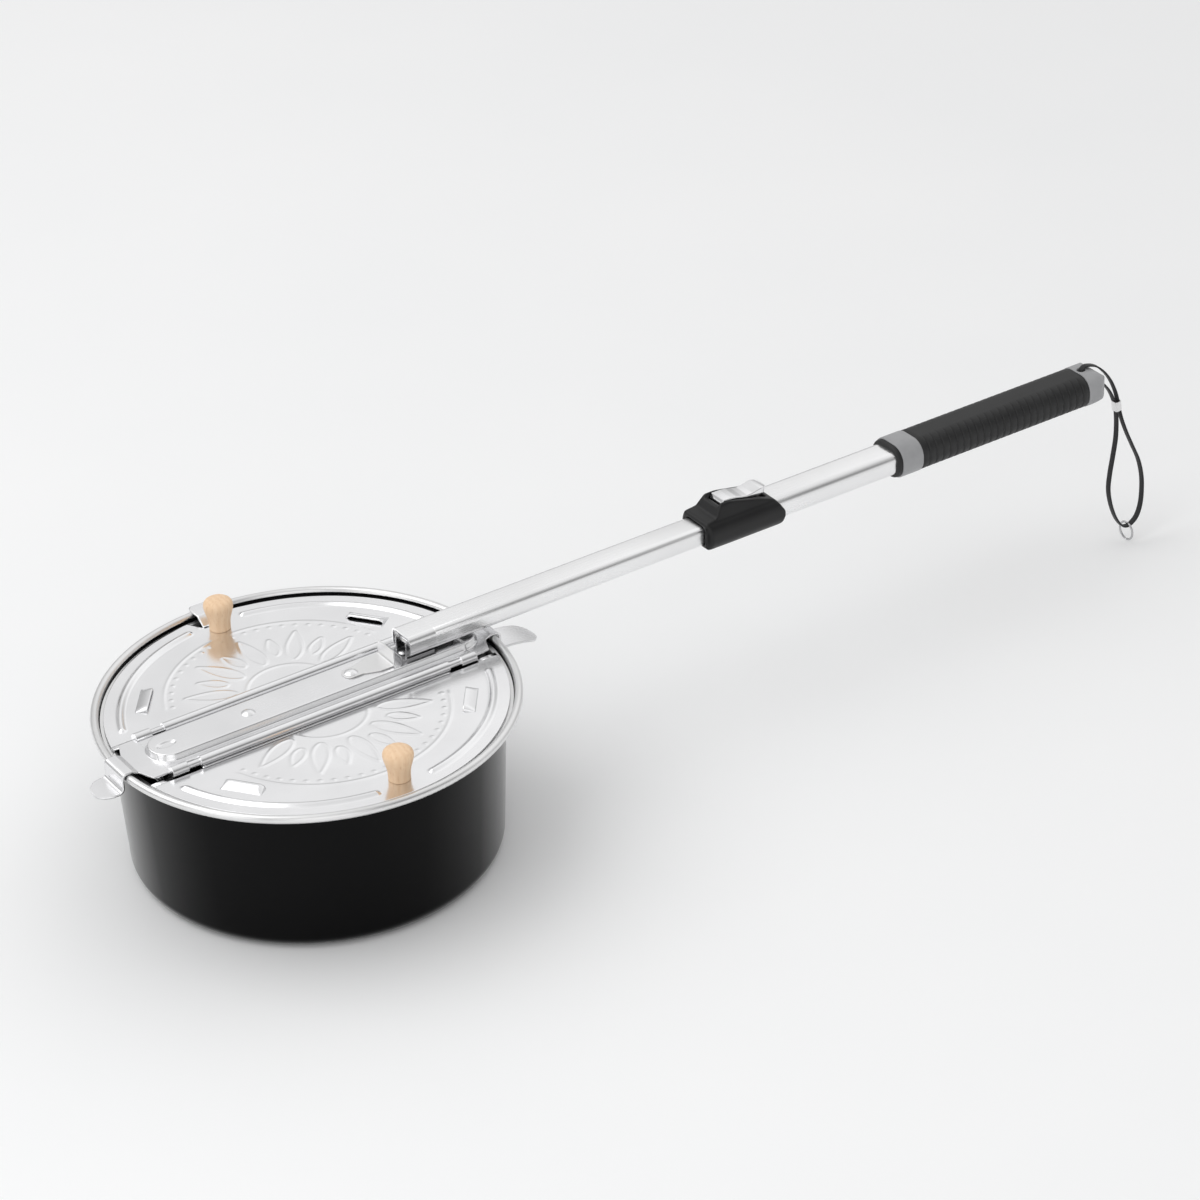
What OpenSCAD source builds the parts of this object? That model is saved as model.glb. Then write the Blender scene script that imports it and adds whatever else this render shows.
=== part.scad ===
// Campfire popcorn popper: a drawn steel pan, a clip-on lid with two hinged halves
// and a folding, telescoping handle with a thumb lock, a rubber grip and a wrist strap.
// The origin is the centre of the pan's flat bottom. +Z is up and the handle runs along +X.

/* [Pan] */
// Outer radius of the rolled rim
rim_r = 120; // [112:0.5:135]
// Height from the floor to the top of the rim
pan_h = 95.5; // [95:0.5:120]
// Distance from the rim in to the wall just above the bottom corner
base_in = 14; // [11:0.5:24]
// Outside radius of the bottom corner
corner_r = 8; // [4:0.5:14]
// Thickness of the pan's sheet
pan_sheet = 1.2; // [0.8:0.1:1.6]
// Radius of the rolled bead
bead_r = 2.4; // [2:0.1:3.2]
// Distance from the wall to the bead, across the lid ledge
ledge_w = 4.8; // [4:0.1:7]
// Depth of the lid ledge below the top of the rim
ledge_drop = 4.3; // [3.8:0.1:5]
// Outside radius of the bend between the wall and the ledge
ledge_bend_r = 1.5; // [1:0.1:2]

/* [Half lids] */
// Thickness of the lid sheet
lid_sheet = 1; // [0.7:0.1:1.2]
// Gap between a lid's edge and the bead
lid_gap = 2.6; // [1.5:0.1:3]
// Distance from the middle to each hinge axis
hinge_y = 20.5; // [19.5:0.5:24]
// Diameter of the hinge pins
hinge_pin_d = 4.2; // [3:0.1:4.6]
// Distance from the rim in to the ends of a lid's rolled edge
curl_in = 40.5; // [38:0.5:55]
// Length of the notch beside the rolled edge
notch_len = 8; // [5:0.5:9]
// Width of the ears at a lid's corners
lid_ear_w = 10; // [6:0.5:11]
// Reach of the ears inside the hinge axis
lid_ear_in = 8.5; // [5:0.5:9]
// Distance from the ears to the lid's edge
lid_ear_gap = 5.5; // [5:0.5:7]
// Distance from the rim in to the middle of the arc ribs
rib_in = 16.7; // [16:0.1:19]
// Width of a rib
rib_w = 5.4; // [4:0.1:6]
// Height of a rib
rib_rise = 1.5; // [0.8:0.1:2]
// Angle from the hinge to the start of a rib
rib_from = 20; // [18:1:26]
// Angle from the hinge to the end of a rib
rib_to = 80; // [70:1:80]
// Distance from the rim in to the middle of a vent louvre
vent_in = 29; // [28:0.5:34]
// Angle from the hinge to a louvre
louvre_at = 37; // [34:1:50]
// Length of a louvre along its arc
louvre_len = 24; // [16:1:28]
// Width of a louvre
louvre_w = 7; // [5:0.5:8]
// Height of a louvre's open edge
louvre_rise = 3; // [2:0.1:3.5]
// Width of the far lid's lift tab
lift_w = 15; // [12:0.5:18]
// Length of the lift tab's slope
lift_ramp = 6; // [5:0.5:7]
// Width of the slot on each side of the lift tab, at the lid's edge
lift_slot = 6; // [3:0.5:7]
// Reach of the lift tab past the rim
lift_past = 1.5; // [0.5:0.5:4]

/* [Knobs] */
// Distance from the rim in to each knob
knob_in = 23; // [23:0.5:32]
// Diameter of a knob's foot
knob_foot_d = 12.4; // [11:0.1:14]
// Largest diameter of a knob
knob_d = 17.2; // [15:0.1:20]
// Height of a knob
knob_h = 20; // [18:0.5:24]
// Height of the straight stem of a knob
knob_stem_h = 6.5; // [3:0.5:7]
// Diameter of the knob screws
knob_screw_d = 4; // [3:0.1:5]
// Depth of a knob screw in the wood
knob_screw_in = 10; // [6:0.5:12]

/* [Cross bar] */
// Thickness of the bar's sheet
bar_sheet = 1.2; // [0.8:0.1:1.4]
// Width of the flat top of the raised middle
ridge_w = 23; // [21.5:0.5:24]
// Height of the raised middle above its flanges
ridge_rise = 3.7; // [3:0.1:5]
// Sideways spread of the raised middle's walls
ridge_slope = 1.5; // [0.5:0.1:2]
// Distance from the rim in to the centres of the ridge's round ends
ridge_in = 33; // [30:0.5:38]
// Extra length of the ridge at its right end
ridge_more = 10; // [0:0.5:11]
// Length of the bar's hinge knuckles
knuckle_len = 10; // [6:0.5:11]
// Width of the bar's ends inside the rim
end_w = 33; // [28:0.5:33.5]
// Gap between the bar's ends and the rim
clip_gap = 0.6; // [0.4:0.1:1]
// Inside radius of the bend over the rim
clip_r = 2; // [1.5:0.1:2.5]
// Length of the straight leg outside the rim
clip_leg = 5.3; // [4:0.1:8]
// Inside radius of the bend into a finger tab
flare_r = 2.5; // [2:0.1:4]
// Width of the finger tabs
tab_w = 20; // [16:0.5:24]
// Reach of the left finger tab past the rim
left_tab = 15; // [14:0.5:20]
// Reach of the right finger tab past the rim
right_tab = 30; // [20:0.5:34]
// Radius of the finger tabs' downward curve
tab_curve_r = 60; // [45:1:90]
// Distance from the rim in to the left rivet
left_rivet_in = 83; // [60:1:90]
// Diameter of the large rivets' shanks
rivet_d = 4; // [3:0.1:5]
// Diameter of the large rivets' heads
rivet_head_d = 8; // [7:0.1:9]
// Height of the large rivets' heads
rivet_head_h = 1.5; // [1:0.1:2]

/* [Handle latch] */
// Distance from the handle's inner end to the latch rivet
latch_in = 33.5; // [31:0.5:36]
// Distance from the latch rivet to its thumb lip
latch_len = 23; // [18:0.5:24]
// Width of the latch at its lip
latch_w = 17; // [14:0.5:18]
// Thickness of the latch sheet
latch_sheet = 0.8; // [0.6:0.1:1]
// Height of the thumb lip
lip_h = 9.5; // [6:0.5:10]

/* [Handle pivot] */
// Distance from the rim in to the handle's inner end
tube_in = 57.5; // [54:0.5:58]
// Distance from the tube's inner end to its pivot
pivot_in = 3.5; // [3:0.1:3.8]
// Diameter of the pivot pin
pivot_d = 4; // [3:0.1:4.4]
// Thickness of the pivot bracket's sheet
bracket_sheet = 1.2; // [0.9:0.1:1.3]
// Radius of the bracket's ears round the pivot
ear_r = 4.2; // [3.6:0.1:4.2]
// Height of the bracket's front tab
bracket_tab_h = 3; // [2:0.5:6]
// Gap between the tube and the raised middle of the bar
tube_lift = 1.6; // [1.5:0.1:3]

/* [Tubes] */
// Width of the lower tube
lower_w = 19.5; // [19:0.5:24]
// Height of the lower tube
lower_h = 12.4; // [11.4:0.2:14]
// Corner radius of the lower tube
lower_corner = 4; // [3:0.1:4.5]
// Length of the lower tube
lower_len = 272; // [262:1:300]
// Wall of both tubes
tube_wall = 0.9; // [0.8:0.1:1.4]
// Gap between the tubes
slide_gap = 0.35; // [0.3:0.05:0.5]
// Length of the lower tube that stays inside the upper one
tube_overlap = 50.5; // [45:0.5:60]
// Length of the upper tube from its inner end to the grip
upper_free = 121; // [110:1:135]

/* [Lock collar] */
// Length of the collar
collar_len = 60; // [58:1:66]
// Width of the collar
collar_w = 30; // [28.5:0.5:34]
// Height of the collar's round body
collar_h = 20; // [20:0.5:23]
// Length of the throat in front of the upper tube
throat_len = 22; // [22:0.5:23]
// Width of the hump that carries the lever
hump_w = 17; // [16:0.5:19]
// Height of the hump above the tube's axis
hump_h = 17.5; // [17.2:0.1:18]
// Width of the thumb lever
lever_w = 12.4; // [10:0.2:12.6]
// Diameter of the lever's pivot pin
lever_pin_d = 3; // [2:0.1:3.4]
// Diameter of the lever's return spring
spring_d = 5; // [4:0.1:5.4]
// Wire of the lever's return spring
spring_wire = 0.6; // [0.4:0.05:0.7]
// Turns of the lever's return spring
spring_turns = 3; // [2:1:3]
// Diameter of the collar screws
collar_screw_d = 2.5; // [2:0.1:3]

/* [Grip] */
// Length of the rubber grip
grip_len = 130; // [110:1:150]
// Width of the grip
grip_w = 28; // [27:0.2:32]
// Height of the grip
grip_h = 21.4; // [20:0.2:26]
// Corner radius of the grip
grip_corner = 9.6; // [8:0.1:9.9]
// Number of grooves round the grip
groove_count = 24; // [8:1:26]
// Width of a groove
groove_w = 1.4; // [0.8:0.1:2]
// Depth of a groove
groove_deep = 0.6; // [0.3:0.1:0.8]
// Length of the front ring
ring_len = 15; // [10:1:20]
// Length of the dark lip in front of the ring
lip_len = 3; // [2:0.5:5]
// Rise of the ring and the end cap above the grip
ring_rise = 0.3; // [0.1:0.1:0.6]
// Length of the end cap
cap_len = 16; // [15:0.5:20]

/* [Wrist strap] */
// Width of the strap
strap_w = 4; // [3:0.1:5]
// Thickness of the strap
strap_t = 1.2; // [1:0.1:1.4]
// Outer diameter of the ring on the strap
strap_ring_d = 13; // [12:0.1:13.4]
// Wire of the ring on the strap
strap_ring_wire = 1.4; // [1:0.1:1.6]
// Length of the crimp round the strap's two strands
crimp_len = 7; // [5:0.5:9]
// Room across the two strands inside the crimp
crimp_w = 4; // [3.8:0.1:4.6]

/* [Clearances] */
// Gap under a piece that rests on another body
seat_gap = 0.3; // [0.2:0.05:0.5]
// Radial clearance of a pin that turns in its hole
run_clear = 0.08; // [0.05:0.01:0.1]
// Clearance of a piece fixed in or on another
fit_clear = 0.05; // [0.02:0.01:0.1]
// Gap beside a piece that swings
swing_gap = 0.4; // [0.3:0.05:0.5]

/* [Hidden] */
$fn = 96;
BIG = 400;
base_r = rim_r - base_in;
curl_half = rim_r - curl_in;
rib_r = rim_r - rib_in;
louvre_r = rim_r - vent_in;
knob_y = rim_r - knob_in;
ridge_half = rim_r - ridge_in;
left_rivet_x = rim_r - left_rivet_in;
tube_x = rim_r - tube_in;
latch_x = tube_x - latch_in;
bead_x = rim_r - bead_r;
bead_z = pan_h - bead_r;
wall_top_r = rim_r - 2 * bead_r - ledge_w;
ledge_z = pan_h - ledge_drop;
ledge_bend_z = ledge_z - pan_sheet - ledge_bend_r;
lid_z0 = ledge_z + seat_gap;
lid_z1 = lid_z0 + lid_sheet;
lid_r = rim_r - 2 * bead_r - lid_gap;
curl_r = hinge_pin_d / 2 + run_clear + lid_sheet;
knuckle_r = hinge_pin_d / 2 + bar_sheet;
hinge_z = lid_z0 + curl_r;
knuckle_x = curl_half + notch_len;
flange_half = knuckle_x + knuckle_len;
panel_y = hinge_y + knuckle_r + swing_gap;
flange_y = hinge_y - curl_r - swing_gap;
flange_z0 = hinge_z - bar_sheet / 2;
flange_z1 = hinge_z + bar_sheet / 2;
ridge_z = flange_z1 + ridge_rise;
over_z = pan_h + seat_gap;
over_top = over_z + bar_sheet;
clip_x = rim_r + clip_gap;
ramp_end = rim_r - 2 * bead_r - seat_gap;
ramp_x = ramp_end - 2 * (over_z - flange_z0);
tab_x = clip_x + bar_sheet + flare_r;
leg_z = over_z - clip_r - clip_leg;
lift_y = knob_y + knob_foot_d / 2 + 0.6;
lift_end = rim_r + lift_past;
latch_z = ridge_z + fit_clear;
latch_top = latch_z + latch_sheet;
handle_z = ridge_z + tube_lift + lower_h / 2;
pivot_x = tube_x + pivot_in;
inner_w = lower_w - 2 * tube_wall;
inner_h = lower_h - 2 * tube_wall;
lower_end = tube_x + lower_len;
upper_gap_w = lower_w + 2 * slide_gap;
upper_gap_h = lower_h + 2 * slide_gap;
upper_w = upper_gap_w + 2 * tube_wall;
upper_h = upper_gap_h + 2 * tube_wall;
upper_corner = lower_corner + slide_gap + tube_wall;
upper_x = lower_end - tube_overlap;
collar_x = upper_x - throat_len;
grip_x = upper_x + upper_free;
ring_x = grip_x + lip_len;
rubber_x = ring_x + ring_len;
cap_x = rubber_x + grip_len;
cap_w = grip_w + 2 * ring_rise;
cap_h = grip_h + 2 * ring_rise;
cap_corner = grip_corner + ring_rise;
foot_len = 18;
notch_end = pivot_x + foot_len - 4;
bracket_half = inner_w / 2 - 0.8;
ear_y = inner_w / 2 - 3.6;
bracket_x = pivot_x - norm([pivot_in, lower_h / 2]) - 2 * swing_gap - bracket_sheet;
bracket_top = ridge_z + bracket_sheet;
lever_px = collar_x + 31;
lever_pz = handle_z + 12.2;
pocket_z = handle_z + upper_h / 2 + 0.6;
pad_z = handle_z + lower_h / 2 + seat_gap;
spring_x = collar_x + 45;
spring_top = handle_z + 12.4;
screw_xs = [collar_x + 30, collar_x + 46];
louvre_in = louvre_r - louvre_w / 2;
louvre_out = louvre_r + louvre_w / 2;
louvre_angle = louvre_len / louvre_r * 90 / PI;
louvre_end = lid_sheet / louvre_r * 180 / PI;
washer_t = 0.8;
lever_slot_w = lever_w + 2 * swing_gap;
bracket_rivet_d = 3;
bracket_rivet_xs = [pivot_x - 3, pivot_x + 9];
STEEL = [0.78, 0.79, 0.8];
LID = [0.84, 0.85, 0.86];
BLACK = [0.09, 0.09, 0.1];
GREY = [0.55, 0.56, 0.58];
WOOD = [0.87, 0.72, 0.53];

// The strap leaves the cap's top, hangs as a loop through its ring and goes back into the cap's end.
// Its points count from the cap's front face, at the height of the handle's axis.
STRAP = [
    [4, 0, 7.6], [4.5, 0, 11.2], [8, 0, 12.6], [15, -0.5, 10.4], [21.5, -1, 4.6], [26.5, -1.5, -2.4],
    [29.5, -2.5, -9.4], [31, -3.5, -15.4], [32, -4.5, -22.4], [33, -6, -29.4], [35, -8.5, -38.4],
    [38, -11.5, -48.4], [41, -14.5, -58.4], [41.5, -17.5, -68.4], [40, -20, -77.4], [37, -22.5, -85.4],
    [32.5, -24.5, -91.4], [27.5, -25.4, -94.4], [23.5, -25.6, -95.2], [19.5, -25, -93.6],
    [16, -23, -87.4], [14, -20.5, -78.4], [14.5, -17.5, -69.4], [17.5, -15, -60.4], [21.5, -12.5, -51.4],
    [26, -9.5, -41.4], [28.5, -7, -34.4], [29.5, -5.5, -28.4], [29.9, -4, -22.4], [28.8, -2.5, -16.4],
    [26.5, -1, -10.4], [22.5, 0, -4.9], [18, 0, -1.4], [13, 0, -1]
];
STRAP_RING_AT = [23.5, -25.6, -98.6];
CRIMP_AT = [30.7, -3.95, -20.9];

// Corner of an outline rounded to radius r, as points along the arc from the side of a to the side of c
function unit(v) = v / norm(v);
function corner_arc(a, b, c, r, steps = 6) =
    r == 0 ? [b] :
    let (
        u = unit(a - b),
        v = unit(c - b),
        half = acos(max(-1, min(1, u * v))) / 2,
        back = r / tan(half),
        middle = b + unit(u + v) * r / sin(half),
        start = b + u * back - middle,
        stop = b + v * back - middle,
        sweep = 180 - 2 * half,
        side = start[0] * stop[1] - start[1] * stop[0] > 0 ? 1 : -1
    )
    [for (i = [0:steps]) let (t = side * sweep * i / steps)
        middle + [start[0] * cos(t) - start[1] * sin(t), start[0] * sin(t) + start[1] * cos(t)]];

// Outline through points [x, y, corner radius]
module rounded_outline(points) {
    n = len(points);
    at = [for (p = points) [p[0], p[1]]];
    polygon([for (i = [0:n - 1]) each corner_arc(at[(i + n - 1) % n], at[i], at[(i + 1) % n], points[i][2])]);
}

// Corners of a wedge from the origin out to a reach, between two angles
function wedge(reach, from, to, steps) =
    [[0, 0], for (i = [0:steps]) let (a = from + (to - from) * i / steps) reach * [cos(a), sin(a)]];

// Part of a ring between two angles, measured inwards from radius r
module ring_sector(r, thick, from, to) {
    reach = 2 * r;
    steps = ceil((to - from) / 60);
    intersection() {
        difference() {
            circle(r);
            circle(r - thick);
        }
        polygon(wedge(reach, from, to, steps));
    }
}

// Rectangle with round corners, centred
module rounded(w, h, r) {
    square([w - 2 * r, h], center = true);
    square([w, h - 2 * r], center = true);
    for (x = [-1, 1], y = [-1, 1]) {
        translate([x * (w / 2 - r), y * (h / 2 - r)]) circle(r);
    }
}

// Children drawn in Y and Z, extruded along +X from x
module along_x(x, length) {
    translate([x, 0, 0]) rotate([90, 0, 90]) linear_extrude(length) children();
}

// Children drawn in X and Z, extruded across Y and centred on it
module across_y(width) {
    rotate([90, 0, 0]) linear_extrude(width, center = true) children();
}

// A bar of round section along Y, centred
module cross_pin(x, z, d, length) {
    translate([x, 0, z]) rotate([90, 0, 0]) cylinder(d = d, h = length, center = true);
}

// A bar of round section along X, centred
module long_pin(y, z, d, length) {
    translate([0, y, z]) rotate([0, 90, 0]) cylinder(d = d, h = length, center = true);
}

// Section of the handle tubes, at the handle's height
module tube_section(w, h, r) {
    translate([0, handle_z]) rounded(w, h, r);
}

module pan_profile() {
    square([base_r - corner_r, pan_sheet]);
    translate([base_r - corner_r, corner_r]) ring_sector(corner_r, pan_sheet, 270, 360);
    polygon([
        [base_r - pan_sheet, corner_r], [base_r, corner_r],
        [wall_top_r, ledge_bend_z], [wall_top_r - pan_sheet, ledge_bend_z]
    ]);
    translate([wall_top_r + ledge_bend_r, ledge_bend_z])
        ring_sector(ledge_bend_r + pan_sheet, pan_sheet, 90, 180);
    translate([wall_top_r + ledge_bend_r, ledge_z - pan_sheet])
        square([ledge_w - ledge_bend_r + pan_sheet, pan_sheet]);
    translate([rim_r - 2 * bead_r, ledge_z - pan_sheet]) square([pan_sheet, bead_z - ledge_z + pan_sheet]);
    translate([bead_x, bead_z]) ring_sector(bead_r, pan_sheet, -80, 180);
}

module pan() {
    color(BLACK) rotate_extrude() pan_profile();
}

// The pressed ridge along the bar, narrowed by inset, from height z0 up to z1
module ridge_form(z0, z1, inset) {
    top = ridge_w / 2 - inset;
    foot = top + ridge_slope;
    along_x(-ridge_half, 2 * ridge_half + ridge_more)
        polygon([[-foot, z0], [foot, z0], [top, z1], [-top, z1]]);
    for (x = [-ridge_half, ridge_half + ridge_more]) {
        translate([x, 0, z0]) cylinder(r1 = foot, r2 = top, h = z1 - z0);
    }
}

// Side view of a bar end: up over the rim, down outside it and out as a finger tab
module end_side(reach) {
    length = reach - tab_x;
    sweep = asin(length / tab_curve_r);
    tab_top = leg_z - flare_r;
    translate([flange_half - 2, flange_z0]) square([ramp_x - flange_half + 2, bar_sheet]);
    polygon([[ramp_x, flange_z0], [ramp_end, over_z], [ramp_end, over_top], [ramp_x, flange_z1]]);
    translate([ramp_end, over_z]) square([clip_x - clip_r - ramp_end, bar_sheet]);
    translate([clip_x - clip_r, over_z - clip_r]) ring_sector(clip_r + bar_sheet, bar_sheet, 0, 90);
    translate([clip_x, leg_z]) square([bar_sheet, clip_leg]);
    translate([tab_x, leg_z]) ring_sector(flare_r + bar_sheet, bar_sheet, 180, 270);
    translate([tab_x, tab_top - tab_curve_r]) ring_sector(tab_curve_r, bar_sheet, 90 - sweep, 90);
}

// Plan of a bar end with its round-tipped tab
module end_plan(reach) {
    tip_r = tab_w / 2 - 1;
    neck_x = ramp_x - (end_w - tab_w) / 4;
    rounded_outline([
        [flange_half - 2, -end_w / 2, 0], [neck_x, -end_w / 2, 2], [ramp_x, -tab_w / 2, 1],
        [reach, -tab_w / 2, tip_r], [reach, tab_w / 2, tip_r],
        [ramp_x, tab_w / 2, 1], [neck_x, end_w / 2, 2], [flange_half - 2, end_w / 2, 0]
    ]);
}

module bar_end(reach) {
    intersection() {
        across_y(end_w) end_side(reach);
        linear_extrude(over_top + 1) end_plan(reach);
    }
}

// Hole for a rivet, through the bar and the bracket on it
module rivet_hole(x, d) {
    translate([x, 0, flange_z0]) cylinder(d = d + 2 * fit_clear, h = bracket_top + 1 - flange_z0);
}

module cross_bar() {
    flange_deep = 2 * flange_y;
    knuckle_reach = hinge_y - hinge_pin_d / 2 - bar_sheet / 3 - flange_y;
    color(STEEL) difference() {
        union() {
            translate([-flange_half, -flange_y, flange_z0]) cube([2 * flange_half, flange_deep, bar_sheet]);
            ridge_form(flange_z0, ridge_z, 0);
            bar_end(rim_r + right_tab);
            mirror([1, 0, 0]) bar_end(rim_r + left_tab);
            for (x = [-flange_half, knuckle_x], side = [-1, 1]) {
                translate([x, side * (flange_y + knuckle_reach / 2 - 0.5), hinge_z])
                    translate([0, -knuckle_reach / 2 - 0.5, -bar_sheet / 2])
                        cube([knuckle_len, knuckle_reach + 1, bar_sheet]);
                translate([x, side * hinge_y, hinge_z]) rotate([0, 90, 0])
                    cylinder(r = knuckle_r, h = knuckle_len);
            }
        }
        ridge_form(flange_z0 - 1, ridge_z - bar_sheet, bar_sheet);
        for (side = [-1, 1]) {
            long_pin(side * hinge_y, hinge_z, hinge_pin_d + 2 * fit_clear, 2 * flange_half + 2);
        }
        for (x = [-left_rivet_x, latch_x]) {
            rivet_hole(x, rivet_d);
        }
        for (x = bracket_rivet_xs) {
            rivet_hole(x, bracket_rivet_d);
        }
        translate([-ridge_half, 0, ridge_z - bar_sheet / 3]) linear_extrude(bar_sheet) rounded(12, 6, 2.9);
    }
}

module hinge_pins() {
    color(STEEL) {
        for (side = [-1, 1]) {
            long_pin(side * hinge_y, hinge_z, hinge_pin_d, 2 * flange_half);
        }
    }
}

// A rivet with a domed head from z upwards, and a flat clinch under the sheet at z_low
module rivet(d, head_d, head_h, z_low, z) {
    dome_r = (head_d * head_d / 4 + head_h * head_h) / (2 * head_h);
    clinch_h = 0.8;
    translate([0, 0, z_low - clinch_h]) cylinder(d = head_d * 0.8, h = clinch_h);
    translate([0, 0, z_low - clinch_h]) cylinder(d = d, h = z - z_low + clinch_h + head_h / 2);
    intersection() {
        translate([0, 0, z + head_h - dome_r]) sphere(dome_r);
        translate([0, 0, z]) cylinder(d = head_d, h = head_h);
    }
}

module bar_rivets() {
    under = ridge_z - bar_sheet;
    color(STEEL) {
        translate([-left_rivet_x, 0, 0]) rivet(rivet_d, rivet_head_d, rivet_head_h, under, ridge_z);
        translate([latch_x, 0, 0]) rivet(rivet_d, rivet_head_d, rivet_head_h, under, latch_top + fit_clear);
    }
}

// Folded bracket that stands inside the tube's end and carries the pivot
module pivot_bracket() {
    length = pivot_x + foot_len - 5 - bracket_x;
    color(STEEL) difference() {
        union() {
            translate([bracket_x, -bracket_half, ridge_z]) cube([length, 2 * bracket_half, bracket_sheet]);
            translate([bracket_x, -bracket_half, ridge_z])
                cube([bracket_sheet, 2 * bracket_half, bracket_tab_h + bracket_sheet]);
            for (side = [-1, 1]) {
                translate([0, side * ear_y, 0]) across_y(bracket_sheet) {
                    translate([pivot_x - ear_r, ridge_z]) square([2 * ear_r, handle_z - ridge_z]);
                    translate([pivot_x, handle_z]) circle(ear_r);
                }
            }
        }
        cross_pin(pivot_x, handle_z, pivot_d + 2 * fit_clear, lower_w);
        for (x = bracket_rivet_xs) {
            rivet_hole(x, bracket_rivet_d);
        }
    }
}

module bracket_rivets() {
    color(STEEL) {
        for (x = bracket_rivet_xs) {
            translate([x, 0, 0]) rivet(bracket_rivet_d, 5, 0.9, ridge_z - bar_sheet, bracket_top);
        }
    }
}

module pivot_pin() {
    color(STEEL) cross_pin(pivot_x, handle_z, pivot_d, lower_w - 0.6);
}

// Rubber rest between the bar and the tube, near the rim
module handle_rest() {
    rest_len = 12;
    color(BLACK) translate([ridge_half + 1, 0, ridge_z])
        linear_extrude(tube_lift - seat_gap) rounded(rest_len, lower_w - 2 * lower_corner, 2);
}

// Points of a half lid's outline are drawn for the far half, where Y is positive
module panel_outline() {
    ear_x = flange_half + swing_gap;
    ear_low = hinge_y - lid_ear_in;
    intersection() {
        circle(lid_r);
        union() {
            translate([-lid_r, panel_y]) square([2 * lid_r, lid_r]);
            translate([-curl_half, hinge_y]) square([2 * curl_half, panel_y - hinge_y + 1]);
            for (side = [-1, 1]) {
                intersection() {
                    translate([side * (ear_x + lid_ear_w / 2), (ear_low + panel_y + 1) / 2])
                        square([lid_ear_w, panel_y + 1 - ear_low], center = true);
                    circle(lid_r - lid_ear_gap);
                }
            }
        }
    }
}

// Plan of the arc ribs, narrowed by inset on every side, with round ends a little narrower still
module rib_plan(inset) {
    half = rib_w / 2 - inset;
    end_step = 0.25;
    for (from = [rib_from, 180 - rib_to]) {
        to = from + rib_to - rib_from;
        intersection() {
            difference() {
                circle(rib_r + half);
                circle(rib_r - half);
            }
            polygon(wedge(2 * rib_r, from, to, 4));
        }
        for (a = [from, to]) {
            rotate(a) translate([rib_r, 0]) circle(half - end_step);
        }
    }
}

// Pressed ribs: two steps that narrow towards the crown
module ribs() {
    low = lid_z0 + lid_sheet / 2;
    translate([0, 0, low]) linear_extrude(lid_z1 + 0.6 * rib_rise - low) rib_plan(0);
    translate([0, 0, low]) linear_extrude(lid_z1 + rib_rise - low) rib_plan(0.2 * rib_w);
}

module rib_hollows() {
    translate([0, 0, lid_z0 - 1]) linear_extrude(0.6 * rib_rise + 1) rib_plan(0.2 * rib_w);
}

// Louvre hoods: a sheet roof that rises towards the middle of the lid, open along its inner edge
module louvre_sweep(half_angle) {
    for (a = [louvre_at, 180 - louvre_at]) {
        rotate([0, 0, a - half_angle]) rotate_extrude(angle = 2 * half_angle) children();
    }
}

module louvre_hoods() {
    low = lid_z0 + lid_sheet / 2;
    louvre_sweep(louvre_angle) polygon([
        [louvre_out, low], [louvre_out, lid_z1], [louvre_in, lid_z1 + louvre_rise], [louvre_in, low]
    ]);
}

module louvre_mouths() {
    roof = lid_z1 + louvre_rise - lid_sheet;
    below = lid_z0 - lid_sheet;
    outer = louvre_out - lid_sheet / 2;
    louvre_sweep(louvre_angle - louvre_end) polygon([
        [louvre_in - lid_sheet, below], [outer, below], [outer, lid_z0], [louvre_in, roof],
        [louvre_in - lid_sheet, roof]
    ]);
}

// Lift tab that steps up from the panel and reaches over the rim
module lift_tab() {
    rise_end = lift_y + lift_ramp;
    root = lift_y - 2;
    intersection() {
        along_x(-lift_w / 2, lift_w) {
            translate([root, lid_z0]) square([lift_y - root, lid_sheet]);
            polygon([[lift_y, lid_z0], [rise_end, over_z], [rise_end, over_z + lid_sheet], [lift_y, lid_z1]]);
            translate([rise_end, over_z]) square([lift_end - rise_end, lid_sheet]);
        }
        linear_extrude(over_z + 2 * lid_sheet) rounded_outline([
            [-lift_w / 2, root, 0], [lift_w / 2, root, 0],
            [lift_w / 2, lift_end, 3], [-lift_w / 2, lift_end, 3]
        ]);
    }
}

// Room cut out of the panel for the lift tab and a wedge slot on each side of it
module lift_room() {
    root_half = lift_w / 2 + 0.2;
    edge_half = lift_w / 2 + lift_slot;
    linear_extrude(BIG) polygon([
        [-root_half, lift_y - 1], [root_half, lift_y - 1], [edge_half, lid_r],
        [edge_half, rim_r], [-edge_half, rim_r], [-edge_half, lid_r]
    ]);
}

module lid_panel() {
    difference() {
        union() {
            translate([0, 0, lid_z0]) linear_extrude(lid_sheet) panel_outline();
            ribs();
            louvre_hoods();
        }
        rib_hollows();
        louvre_mouths();
        translate([0, knob_y, lid_z0 - 1]) cylinder(d = knob_screw_d + 2 * fit_clear, h = lid_sheet + 2);
    }
    along_x(-curl_half, 2 * curl_half)
        translate([hinge_y, hinge_z]) ring_sector(curl_r, lid_sheet, -15, 270);
}

module near_lid() {
    color(LID) near() lid_panel();
}

module far_lid() {
    color(LID) {
        difference() {
            lid_panel();
            lift_room();
        }
        lift_tab();
    }
}

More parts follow.
